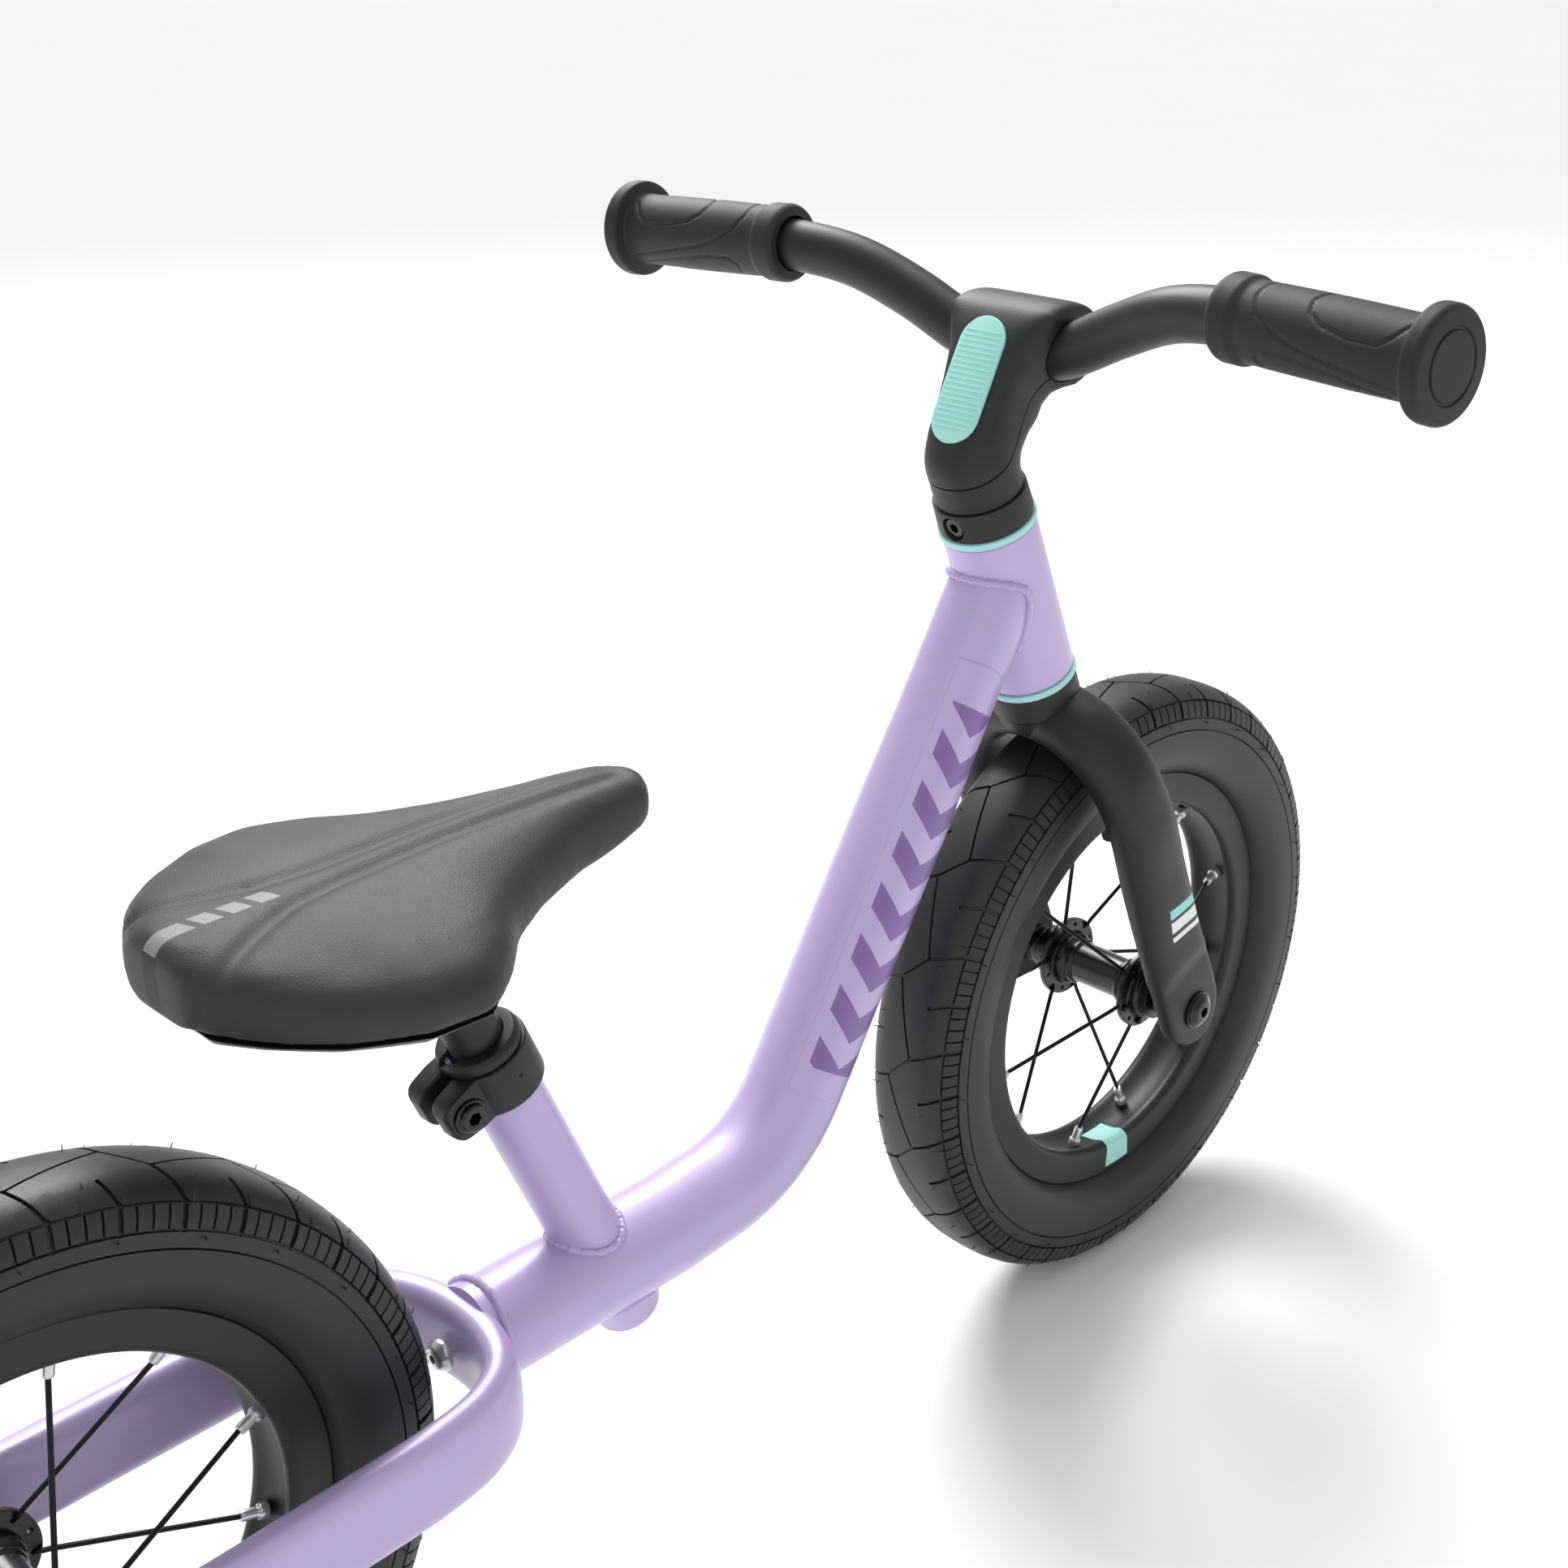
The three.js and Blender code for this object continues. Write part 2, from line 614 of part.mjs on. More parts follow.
function handlebar() {
  return cut(
    tubeAlong(barPath(), BAR_R, 12, 24),
    tubeAlong(barPath(), BAR_R - 2, 8, 24).scale(1, 1.01, 1),
  );
}

// A grip: a collar next to the bar's bend, a swelling body and a wide end flange.
function grip(side) {
  const profile = [
    [0, 0], [15.4, 0], [16.6, 2], [16.6, 11], [14.8, 13], [15.2, 30], [16.6, 52],
    [16.2, 72], [14.8, 84], [20, 88], [21.4, 91], [21.4, 95], [19.5, 98], [0, 98],
  ];
  const start = new THREE.Vector3(471.6, side * 115.3, 510.2);
  const end = new THREE.Vector3(462.8, side * (GRIP_END_Y + 2), 507.6);
  const direction = end.sub(start).normalize();
  const g = cut(turnedY(profile, 20), rodY(BAR_R + 2, -1, 95.4, 12));
  g.applyQuaternion(new THREE.Quaternion().setFromUnitVectors(Y_AXIS, direction));
  g.translate(start.x, start.y, start.z);
  return g;
}

// Assembly ---------------------------------------------------------------------------------

const bike = new THREE.Group();
bike.position.x = -WHEELBASE / 2;

const rearWheel = new THREE.Group();
rearWheel.position.z = TYRE_R;
wheel(rearWheel, "rear");
bike.add(rearWheel);

const frontWheel = new THREE.Group();
frontWheel.position.set(WHEELBASE, 0, TYRE_R);
wheel(frontWheel, "front");
bike.add(frontWheel);

for (const [name, x] of [["rear", 0], ["front", WHEELBASE]]) {
  part(bike, `${name}_axle`, axle(), BLACK_STEEL).position.set(x, 0, TYRE_R);
  part(bike, `${name}_axle_bolt`, axleBolt(), BLACK_STEEL).position.set(x, 0, TYRE_R);
}

part(bike, "head_tube", headTube(), PAINT);
part(bike, "main_tube", mainTube(), PAINT);
part(bike, "seat_tube", seatTube(), PAINT);
part(bike, "stay_loop", stayLoop(), PAINT);
part(bike, "bridge_bolt", bridgeBolt(), BRIGHT_STEEL);
part(bike, "handlebar", handlebar(), BLACK_PAINT);
part(bike, "grip_left", grip(1), RUBBER);
part(bike, "grip_right", grip(-1), RUBBER);
part(bike, "saddle_cover", saddleCover(), BLACK_PLASTIC);
part(bike, "saddle_base", saddleBase(), BLACK_PLASTIC);

const seat = new THREE.Group();
seat.position.set(SEAT_X, 0, SEAT_Z);
seat.rotation.y = tiltFromZ(SEAT_ANGLE);
part(seat, "seat_clamp", seatClamp(), BLACK_PAINT);
part(seat, "seat_clamp_bolt", seatClampBolt(), BLACK_STEEL);
part(seat, "post_sleeve", postSleeve(), BLACK_PLASTIC);
part(seat, "seat_post", seatPost(), BLACK_PAINT);
bike.add(seat);

const steering = new THREE.Group();
steering.position.set(HEAD_X, 0, HEAD_Z);
steering.rotation.y = tiltFromZ(HEAD_ANGLE);
part(steering, "head_ring_top", ring(-1.7, 1.6, HEAD_R + 0.9, STEERER_R + 0.8), MINT);
part(steering, "head_ring_bottom", ring(-HEAD_LENGTH - 1.6, -HEAD_LENGTH + 1.7, HEAD_R + 0.7, STEERER_R + 0.8), MINT);
part(steering, "steering_collar", collar(), BLACK_PLASTIC);
part(steering, "collar_bolt", collarBolt(), BLACK_STEEL);
part(steering, "fork_crown", forkCrown(), BLACK_PAINT);
part(steering, "fork_leg_left", forkLeg(1), BLACK_PAINT);
part(steering, "fork_leg_right", forkLeg(-1), BLACK_PAINT);
part(steering, "stem_body", stemBody(), BLACK_PLASTIC);
part(steering, "stem_cover", stemCover(), BLACK_PLASTIC);
part(steering, "stem_pad", stemPad(), MINT);
bike.add(steering);

const balanceBike = new THREE.Group();
balanceBike.add(bike);

export default balanceBike;
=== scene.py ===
# %% [markdown]
# # A child's balance bike with 12 inch wheels
# This file builds the looks of a small balance bike around a fixed model of its parts. Every
# cell makes one piece or one finish. A short note before it says what the thing is on the real
# bike, how it could be made, and why it is made this way here.

import json
import math
import random

import bmesh
import bpy
from mathutils import Matrix, Vector


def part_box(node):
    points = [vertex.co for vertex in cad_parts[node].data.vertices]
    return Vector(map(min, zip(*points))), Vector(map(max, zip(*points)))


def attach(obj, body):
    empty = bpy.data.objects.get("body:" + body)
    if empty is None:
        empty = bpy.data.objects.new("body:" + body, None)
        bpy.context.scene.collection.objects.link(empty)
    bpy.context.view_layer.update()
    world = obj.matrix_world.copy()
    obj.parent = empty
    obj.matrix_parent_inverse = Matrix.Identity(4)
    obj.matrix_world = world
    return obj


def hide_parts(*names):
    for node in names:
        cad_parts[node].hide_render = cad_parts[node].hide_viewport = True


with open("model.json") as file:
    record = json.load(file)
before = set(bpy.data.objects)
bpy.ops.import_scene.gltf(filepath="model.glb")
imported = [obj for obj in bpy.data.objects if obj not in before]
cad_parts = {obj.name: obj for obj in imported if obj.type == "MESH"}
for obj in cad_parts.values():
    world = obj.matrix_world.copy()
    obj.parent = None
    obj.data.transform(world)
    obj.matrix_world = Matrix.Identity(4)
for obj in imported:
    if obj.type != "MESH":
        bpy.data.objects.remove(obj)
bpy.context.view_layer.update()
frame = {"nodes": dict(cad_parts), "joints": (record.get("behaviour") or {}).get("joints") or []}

# %% [markdown]
# ## Where things are
# A bike is drawn most easily in a few frames of its own: one at each wheel's centre, one along
# the steering axis, one along the seat tube, and a level one. Each is a matrix that takes
# millimetres in that frame to metres in the scene. They all come from the fixed model, so no
# piece has to be fitted by eye.

# %% Frames of reference
MM = 0.001
SIDE = Vector((0, 1, 0))


def middle(node):
    low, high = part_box(node)
    return (low + high) / 2


def level_at(origin):
    return Matrix.Translation(origin) @ Matrix.Scale(MM, 4)


def leaning_at(origin, up):
    up = Vector(up).normalized()
    turn = Matrix((SIDE.cross(up), SIDE, up)).transposed().to_4x4()
    return Matrix.Translation(origin) @ turn @ Matrix.Scale(MM, 4)


joints = {joint["name"]: joint for joint in frame["joints"]}
turning, sliding = joints["steering_turn"], joints["seat_height"]
POST_MIDDLE = 43.25
rear_centre, front_centre = middle("rear_tyre"), middle("front_tyre")
LEVEL = level_at(Vector((rear_centre.x, 0, 0)))
HEAD = leaning_at(Vector(turning["pos_m"]), turning["axis"])
SEAT = leaning_at(middle("seat_post") - Vector(sliding["axis"]) * POST_MIDDLE * MM, sliding["axis"])
WHEELS = {"rear": level_at(rear_centre), "front": level_at(front_centre)}
print("wheelbase:", round((front_centre.x - rear_centre.x) * 1000, 1), "mm")

# %% [markdown]
# ## The helpers that make meshes
# Most of a bike is tubes, turned parts and plates. A tube is one ring that is extruded from
# station to station and given each station's size. A turned part is a profile that is spun
# about an axis. A plate is an outline that is filled, extruded and bevelled. Each helper returns
# a bmesh in millimetres, and one more helper turns it into a finished, riding piece.

# %% Numbers along a path
def eased_step(x):
    x = min(max(x, 0.0), 1.0)
    return x * x * (3 - 2 * x)


def between(a, b, share):
    return a + (b - a) * share


def eased(t, stops):
    """Values at t from 0 to 1 along evenly spaced stops, turning smoothly at each."""
    place = min(t * (len(stops) - 1), len(stops) - 1 - 1e-9)
    i = int(place)
    share = eased_step(place - i)
    return [between(a, b, share) for a, b in zip(stops[i], stops[i + 1])]


class Path:
    """A smooth line through points, which passes each one at an even step of t."""

    def __init__(self, points):
        points = [Vector(p) for p in points]
        self.points = [points[0] * 2 - points[1]] + points + [points[-1] * 2 - points[-2]]
        self.spans = len(points) - 1

    def at(self, t):
        place = min(max(t, 0) * self.spans, self.spans - 1e-7)
        i = int(place)
        s = place - i
        p0, p1, p2, p3 = self.points[i:i + 4]
        d0, d1, d2 = (math.sqrt((b - a).length) for a, b in ((p0, p1), (p1, p2), (p2, p3)))
        m1 = ((p1 - p0) / d0 - (p2 - p0) / (d0 + d1) + (p2 - p1) / d1) * d1
        m2 = ((p2 - p1) / d1 - (p3 - p1) / (d1 + d2) + (p3 - p2) / d2) * d1
        return p1 + s * m1 + s * s * (3 * (p2 - p1) - 2 * m1 - m2) + s ** 3 * (2 * (p1 - p2) + m1 + m2)

    def along(self, t):
        h = 1e-4
        return (self.at(min(t + h, 1)) - self.at(max(t - h, 0))).normalized()


def rounded(pairs, radius, steps=4, closed=False):
    """The profile with each corner turned into a small curve. A third number is its own radius."""
    out = []
    count = len(pairs)
    for i, entry in enumerate(pairs):
        here = Vector(entry[:2])
        size = entry[2] if len(entry) > 2 else radius
        if size == 0 or (not closed and i in (0, count - 1)):
            out.append(here)
            continue
        before, after = Vector(pairs[i - 1][:2]) - here, Vector(pairs[(i + 1) % count][:2]) - here
        start = here + before.normalized() * min(size, before.length * 0.45)
        end = here + after.normalized() * min(size, after.length * 0.45)
        for k in range(steps + 1):
            s = k / steps
            out.append(start * (1 - s) ** 2 + here * 2 * s * (1 - s) + end * s * s)
    return out


# %% A tube from station to station
TAU = 2 * math.pi


class Station:
    """One section of a tube: its place, the way the tube runs, and its two half sizes."""

    def __init__(self, at, along, wide, a, b=None, power=2.0):
        self.at, self.along, self.power = Vector(at), Vector(along), power
        self.across = (Vector(wide) - self.along * Vector(wide).dot(self.along)).normalized()
        self.side = self.along.cross(self.across)
        self.a, self.b = a, a if b is None else b

    def place(self, turn):
        c, s = math.cos(turn), math.sin(turn)
        u = math.copysign(abs(c) ** (2 / self.power), c)
        v = math.copysign(abs(s) ** (2 / self.power), s)
        return self.at + self.across * self.a * u + self.side * self.b * v


def verts_in(geom):
    return [g for g in geom if isinstance(g, bmesh.types.BMVert)]


def edges_in(geom):
    return [g for g in geom if isinstance(g, bmesh.types.BMEdge)]


def everything(bm):
    return list(bm.verts) + list(bm.edges) + list(bm.faces)


def ring_edges(bm, ring):
    return [bm.edges.get((ring[k - 1], ring[k])) for k in range(len(ring))]


def tube(stations, sides=48, closed=False):
    """A ring extruded through the stations. Its UV map holds millimetres along and turns around."""
    bm = bmesh.new()
    uv = bm.loops.layers.uv.new("along_around")
    ring = bmesh.ops.create_circle(bm, cap_ends=False, radius=1, segments=sides)["verts"]
    first, travelled, where = ring, 0.0, {}
    for i, station in enumerate(stations):
        if i:
            grown = bmesh.ops.extrude_edge_only(bm, edges=ring_edges(bm, ring))["geom"]
            fresh = set(verts_in(grown))
            ring = [next(e.other_vert(v) for e in v.link_edges if e.other_vert(v) in fresh)
                    for v in ring]
            travelled += (station.at - stations[i - 1].at).length
        for k, v in enumerate(ring):
            v.co = station.place(TAU * k / sides)
            where[v] = (travelled, k / sides)
    for face in bm.faces:
        turns = [where[loop.vert][1] for loop in face.loops]
        for loop, turn in zip(face.loops, turns):
            wraps = max(turns) > 0.75 and turn < 0.25
            loop[uv].uv = (where[loop.vert][0], turn + (1 if wraps else 0))
    if closed:
        bmesh.ops.bridge_loops(bm, edges=ring_edges(bm, ring) + ring_edges(bm, first))
    else:
        for loop in (first, ring):
            bmesh.ops.contextual_create(bm, geom=ring_edges(bm, loop))
    return bm


def plain_tube(path, radius, steps, wide, sides=48, start=0.0, end=1.0):
    spots = [between(start, end, i / steps) for i in range(steps + 1)]
    return tube([Station(path.at(t), path.along(t), wide, radius) for t in spots], sides)


# %% A turned part, a plate and a socket
def turned(pairs, segments=96, closed=False, about="Y", sweep=360, first=0):
    """A profile of [radius, height] pairs spun about an axis."""
    bm = bmesh.new()
    verts = [bmesh.ops.create_vert(bm, co=(p[0], p[1], 0))["vert"][0] for p in pairs]
    edges = [bm.edges.new(pair) for pair in zip(verts, verts[1:])]
    if closed:
        edges.append(bm.edges.new((verts[-1], verts[0])))
    bmesh.ops.rotate(bm, verts=verts, matrix=Matrix.Rotation(math.radians(-first), 3, "Y"))
    steps = max(2, round(segments * sweep / 360))
    ends = bmesh.ops.spin(
        bm, geom=verts + edges, axis=(0, -1, 0), cent=(0, 0, 0), steps=steps,
        angle=math.radians(sweep), use_merge=sweep == 360, use_duplicate=False,
    )["geom_last"]
    if sweep != 360 and closed:
        bmesh.ops.contextual_create(bm, geom=edges)
        bmesh.ops.contextual_create(bm, geom=edges_in(ends))
    bmesh.ops.remove_doubles(bm, verts=bm.verts, dist=1e-4)
    bmesh.ops.recalc_face_normals(bm, faces=bm.faces)
    if about == "Z":
        bmesh.ops.rotate(bm, verts=bm.verts, matrix=Matrix.Rotation(math.pi / 2, 3, "X"))
    if about == "X":
        bmesh.ops.rotate(bm, verts=bm.verts, matrix=Matrix.Rotation(-math.pi / 2, 3, "Z"))
    return bm


def sharp_edges(bm, degrees):
    limit = math.radians(degrees)
    return [e for e in bm.edges if e.is_manifold and e.calc_face_angle(0) > limit]


def bevelled(bm, width, segments=3, degrees=40, edges=None):
    bmesh.ops.bevel(
        bm, geom=edges or sharp_edges(bm, degrees), offset=width, offset_type="OFFSET",
        affect="EDGES", segments=segments, profile=0.5, material=-1, clamp_overlap=True,
    )
    return bm


def plate(outline, low, high, bevel=0.0, segments=3, degrees=40):
    """An outline in X and Y, made solid from low to high along Z."""
    bm = bmesh.new()
    verts = [bmesh.ops.create_vert(bm, co=(p[0], p[1], low))["vert"][0] for p in outline]
    edges = [bm.edges.new((verts[i - 1], verts[i])) for i in range(len(verts))]
    bmesh.ops.contextual_create(bm, geom=edges)
    grown = bmesh.ops.extrude_face_region(bm, geom=list(bm.faces))["geom"]
    bmesh.ops.translate(bm, verts=verts_in(grown), vec=(0, 0, high - low))
    bmesh.ops.recalc_face_normals(bm, faces=bm.faces)
    return bevelled(bm, bevel, segments, degrees) if bevel else bm


def arc(cx, cy, radius, start, end, steps):
    turns = [math.radians(between(start, end, i / steps)) for i in range(steps + 1)]
    return [(cx + radius * math.cos(a), cy + radius * math.sin(a)) for a in turns]


def bolt_head(profile, socket, depth, segments=48, flats=6):
    """A turned head, profile from its socket's edge outwards and back to the axis, with a hex socket."""
    bm = turned(profile, segments)
    rim = [e for e in bm.edges if e.is_boundary]
    top = profile[0][1]
    way = 1 if top > profile[-1][1] else -1
    turn = Matrix.Translation((0, top, 0)) @ Matrix.Rotation(math.pi / 2, 4, "X")
    hexagon = bmesh.ops.create_circle(bm, cap_ends=False, radius=socket, segments=flats,
                                      matrix=turn)["verts"]
    inner = list({e for v in hexagon for e in v.link_edges})
    bmesh.ops.bridge_loops(bm, edges=rim + inner)
    grown = bmesh.ops.extrude_edge_only(bm, edges=inner)["geom"]
    bmesh.ops.translate(bm, verts=verts_in(grown), vec=(0, -way * depth, 0))
    bmesh.ops.contextual_create(bm, geom=[e for e in bm.edges if e.is_boundary])
    bmesh.ops.recalc_face_normals(bm, faces=bm.faces)
    return bm


ACROSS = Matrix.Rotation(math.pi / 2, 4, "X")


def rod(place, radius, length, segments=48, far=None):
    """A solid rod centred on a place and lying along its Z, or a cone with its own far radius."""
    bm = bmesh.new()
    bmesh.ops.create_cone(
        bm, cap_ends=True, segments=segments, radius1=radius, radius2=radius if far is None else far,
        depth=length, matrix=place,
    )
    return bm


def merged(*parts):
    """Several bmeshes as one. The others are freed."""
    whole = parts[0]
    for extra in parts[1:]:
        mesh = bpy.data.meshes.new("passing")
        extra.to_mesh(mesh)
        extra.free()
        whole.from_mesh(mesh)
        bpy.data.meshes.remove(mesh)
    return whole


def moved(bm, matrix):
    bmesh.ops.transform(bm, matrix=matrix, verts=bm.verts)
    return bm


# %% From a bmesh to a finished piece
def as_object(bm, name):
    mesh = bpy.data.meshes.new(name)
    bm.to_mesh(mesh)
    bm.free()
    thing = bpy.data.objects.new(name, mesh)
    bpy.context.scene.collection.objects.link(thing)
    return thing


def carved(bm, how, *cutters):
    """A boolean cut, intersection or union, worked out at once. The cutters are freed."""
    thing = as_object(bm, "carved")
    others = [as_object(cutter, "cutter") for cutter in cutters]
    for other in others:
        step = thing.modifiers.new("carve", "BOOLEAN")
        step.operation, step.object, step.solver = how, other, "EXACT"
    bpy.context.view_layer.update()
    result = thing.evaluated_get(bpy.context.evaluated_depsgraph_get()).to_mesh()
    out = bmesh.new()
    out.from_mesh(result)
    for old in [thing] + others:
        mesh = old.data
        bpy.data.objects.remove(old)
        bpy.data.meshes.remove(mesh)
    return out


def finished(bm, name, place, body, finish, stands_for=(), crease=35, weld=2e-3):
    """Puts a mesh in its place, shades it, gives it its finish and lets it ride on its body."""
    bmesh.ops.remove_doubles(bm, verts=bm.verts, dist=weld)
    bmesh.ops.transform(bm, matrix=place, verts=bm.verts)
    bmesh.ops.recalc_face_normals(bm, faces=bm.faces)
    thing = as_object(bm, name)
    thing.data.polygons.foreach_set("use_smooth", [True] * len(thing.data.polygons))
    thing.data.set_sharp_from_angle(angle=math.radians(crease))
    thing.data.materials.append(finish)
    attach(thing, body)
    if stands_for:
        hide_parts(*stands_for)
    print(f"{name}: {len(thing.data.polygons)} faces on {body}")
    return thing

# %% [markdown]
# ## How a finish is written
# A finish is a tree of shader nodes. Written node by node it is long and hard to read, so one
# small class wraps a socket and lets it be added, multiplied and compared like a number. A
# second class holds the shader, and one method of it adds any other node.

# %% Sums on sockets
class Wire:
    """A socket's value, which can be written in sums."""

    def __init__(self, tree, socket):
        self.tree, self.socket = tree, socket

    def maths(self, how, *terms):
        node = self.tree.nodes.new("ShaderNodeMath")
        node.operation = how
        for slot, term in zip(node.inputs, terms):
            plug(self.tree, slot, term)
        return Wire(self.tree, node.outputs[0])

    def __add__(self, other):
        return self.maths("ADD", self, other)

    def __sub__(self, other):
        return self.maths("SUBTRACT", self, other)

    def __rsub__(self, other):
        return self.maths("SUBTRACT", other, self)

    def __mul__(self, other):
        return self.maths("MULTIPLY", self, other)

    def __truediv__(self, other):
        return self.maths("DIVIDE", self, other)

    def __lt__(self, other):
        return self.maths("LESS_THAN", self, other)

    def __gt__(self, other):
        return self.maths("GREATER_THAN", self, other)

    def __abs__(self):
        return self.maths("ABSOLUTE", self)

    def part(self):
        return self.maths("FRACT", self)

    __radd__, __rmul__ = __add__, __mul__


def plug(tree, slot, value):
    if isinstance(value, Wire):
        tree.links.new(value.socket, slot)
    else:
        slot.default_value = value


def colour(code):
    """A six-digit colour code as the linear numbers that a shader wants."""
    parts = [int(code[i:i + 2], 16) / 255 for i in (0, 2, 4)]
    return tuple(c / 12.92 if c <= 0.04045 else ((c + 0.055) / 1.055) ** 2.4 for c in parts) + (1.0,)


# %% A finish with its shader
class Finish:
    """One material. What is the same all over is set on the shader when it is made."""

    def __init__(self, name, **constants):
        self.material = bpy.data.materials.new(name)
        self.material.use_nodes = True
        self.tree = self.material.node_tree
        self.shader = self.tree.nodes["Principled BSDF"]
        for socket, value in constants.items():
            self.shader.inputs[socket.replace("_", " ")].default_value = value

    def node(self, kind, settings, sockets, outlet=0):
        node = self.tree.nodes.new("ShaderNode" + kind)
        for setting, value in settings.items():
            setattr(node, setting, value)
        for slot, value in sockets.items():
            plug(self.tree, node.inputs[slot], value)
        return Wire(self.tree, node.outputs[outlet])

    def place(self):
        return self.node("TexCoord", {}, {}, "Object")

    def axes(self):
        spread = self.tree.nodes.new("ShaderNodeSeparateXYZ")
        self.tree.links.new(self.place().socket, spread.inputs[0])
        return [Wire(self.tree, out) for out in spread.outputs]

    def map_axes(self):
        spread = self.tree.nodes.new("ShaderNodeSeparateXYZ")
        source = self.node("UVMap", {"uv_map": "along_around"}, {})
        self.tree.links.new(source.socket, spread.inputs[0])
        return [Wire(self.tree, out) for out in spread.outputs][:2]

    def noise(self, scale, detail=2.0, stretch=None):
        place = self.place()
        if stretch:
            place = self.node("Mapping", {}, {"Vector": place, "Scale": stretch})
        return self.node("TexNoise", {}, {"Vector": place, "Scale": scale, "Detail": detail})

    def cells(self, scale):
        return self.node("TexVoronoi", {}, {"Vector": self.place(), "Scale": scale})

    def blended(self, share, a, b):
        return self.node("Mix", {"data_type": "RGBA"}, {0: share, 6: a, 7: b}, 2)

    def bumped(self, height, strength, distance):
        sockets = {"Height": height, "Strength": strength, "Distance": distance}
        self.feed("Normal", self.node("Bump", {}, sockets))

    def feed(self, socket, wire):
        plug(self.tree, self.shader.inputs[socket], wire)
        return self


# %% [markdown]
# ## Paint and plated metal
# The frame is sprayed a pale lilac with a faint pearl in it, under a satin clear coat. A flat
# colour with one roughness would look like plastic, so the colour drifts slightly over the
# frame, a very fine speckle stands for the pearl, and a fine ripple stands for the spray.

# %% Lilac paint, plain and with the sticker
LILAC, LILAC_DEEP, STICKER = colour("c6b2dc"), colour("b7a0d2"), colour("8566a8")


def lilac(name, sticker=None):
    look = Finish(name, IOR=1.5, Coat_Weight=0.3, Coat_Roughness=0.22, Metallic=0.12)
    drift = look.noise(14.0)
    pearl = look.noise(2600.0, 1.0)
    shade = look.blended(drift * 0.35 + pearl * 0.3 - 0.1, LILAC, LILAC_DEEP)
    rough = 0.34 + drift * 0.08 + pearl * 0.05
    if sticker:
        mask, edge = sticker(look)
        shade = look.blended(edge * 0.22, shade, STICKER)
        shade = look.blended(mask, shade, STICKER)
        rough = rough + mask * 0.05
    look.feed("Base Color", shade)
    look.feed("Roughness", rough)
    look.bumped(look.noise(900.0, 1.0) + pearl * 0.3, 0.05, 0.0003)
    return look.material


def chevrons(look):
    """Arrow bars along both sides of the main tube, inside the thin edge of a clear sticker."""
    along, turn = look.map_axes()
    fold = 0.5 - abs((turn + 0.75).part() - 0.5)
    off = abs(fold - 0.235) * (TAU * 20.8)
    inside = (along > 212.0) * (along < 376.0)
    bars = ((along - off * 0.75 + 4.0) / 23.0).part() < 0.5
    mask = inside * (off < 14.5) * bars
    rim = abs(off - 19.0) < 0.18
    ends = (abs(along - 200.0) < 0.18) + (abs(along - 388.0) < 0.18)
    edge = rim * (along > 200.0) * (along < 388.0) + ends * (off < 19.0)
    return mask, edge


lilac_paint = lilac("lilac_paint")
lilac_sticker = lilac("lilac_paint_with_sticker", chevrons)
print("paint:", lilac_paint.name, lilac_sticker.name)

# %% [markdown]
# ## Black finishes
# Nothing on the bike is quite the same black. The fork, bar and rims are painted satin, the
# stem and collar are grained plastic, the grips and tyres are rubber, and the hubs and bolts
# are plated steel. Each is a dark grey whose roughness and grain differ, so light tells them
# apart.

# %% A black with its own grain
MINT_PRINT = colour("8fe0da")


def dark(name, tone, lighter, rough, spread, grain, height, metal=0.0, coat=0.0, marks=None):
    """A drifting, grained finish. Marks gives the masks and colours that are printed on it."""
    look = Finish(name, IOR=1.48, Metallic=metal, Coat_Weight=coat, Coat_Roughness=0.2)
    drift, fine = look.noise(22.0, 3.0), look.noise(grain)
    shade = look.blended(drift * 0.6 + fine * 0.25, colour(tone), colour(lighter))
    for mask, ink in (marks(look) if marks else []):
        shade = look.blended(mask, shade, ink)
    look.feed("Base Color", shade)
    look.feed("Roughness", rough + drift * spread + fine * spread * 0.5)
    look.bumped(fine, height, 0.0004)
    return look.material


black_paint = dark("black_satin_paint", "161718", "1d1e1f", 0.40, 0.10, 1500.0, 0.05)
black_plastic = dark("black_grained_plastic", "191a1b", "222325", 0.44, 0.12, 1900.0, 0.22)
grip_rubber = dark("grip_rubber", "191a1b", "222325", 0.52, 0.12, 1300.0, 0.15)
tyre_rubber = dark("tyre_rubber", "1a1b1c", "262728", 0.36, 0.14, 700.0, 0.12)
black_steel = dark("black_plated_steel", "121213", "1c1c1e", 0.20, 0.10, 1100.0, 0.03, 0.5, 0.4)
spoke_steel = dark("spoke_steel", "1b1c1d", "29292b", 0.28, 0.10, 1600.0, 0.04, 0.8)
bright_steel = dark("bright_steel", "c9cacc", "e6e7e9", 0.16, 0.14, 1200.0, 0.04, 0.7)
brass = dark("brass", "a9812f", "d2a850", 0.25, 0.15, 1200.0, 0.04, 1.0)

# %% [markdown]
# ## Mint plastic
# The headset rings, the stem's pad and the small stickers are the same mint. It is moulded
# plastic, a little translucent to the eye, so it is kept pale and soft with a faint mottle.

# %% Mint
def mint_of(name, deep, pale):
    look = Finish(name, IOR=1.46, Coat_Weight=0.1, Coat_Roughness=0.3)
    mottle, fine = look.noise(60.0, 3.0), look.noise(1500.0, 1.0)
    look.feed("Base Color", look.blended(mottle * 0.7 + fine * 0.3, colour(deep), colour(pale)))
    look.feed("Roughness", 0.42 + mottle * 0.12)
    look.bumped(fine, 0.06, 0.0003)
    return look.material


mint = mint_of("mint_plastic", "9fe3de", "b2ebe6")
print("finishes so far:", len(bpy.data.materials))

# %% [markdown]
# ## Floor, light and camera
# The bike stands on a plain pale floor under a wide overhead light, which lights the paper
# evenly, with a smaller soft light behind it for the gleam on the tubes and a weak one in front.
# The world is kept low, so dark parts stay dark.

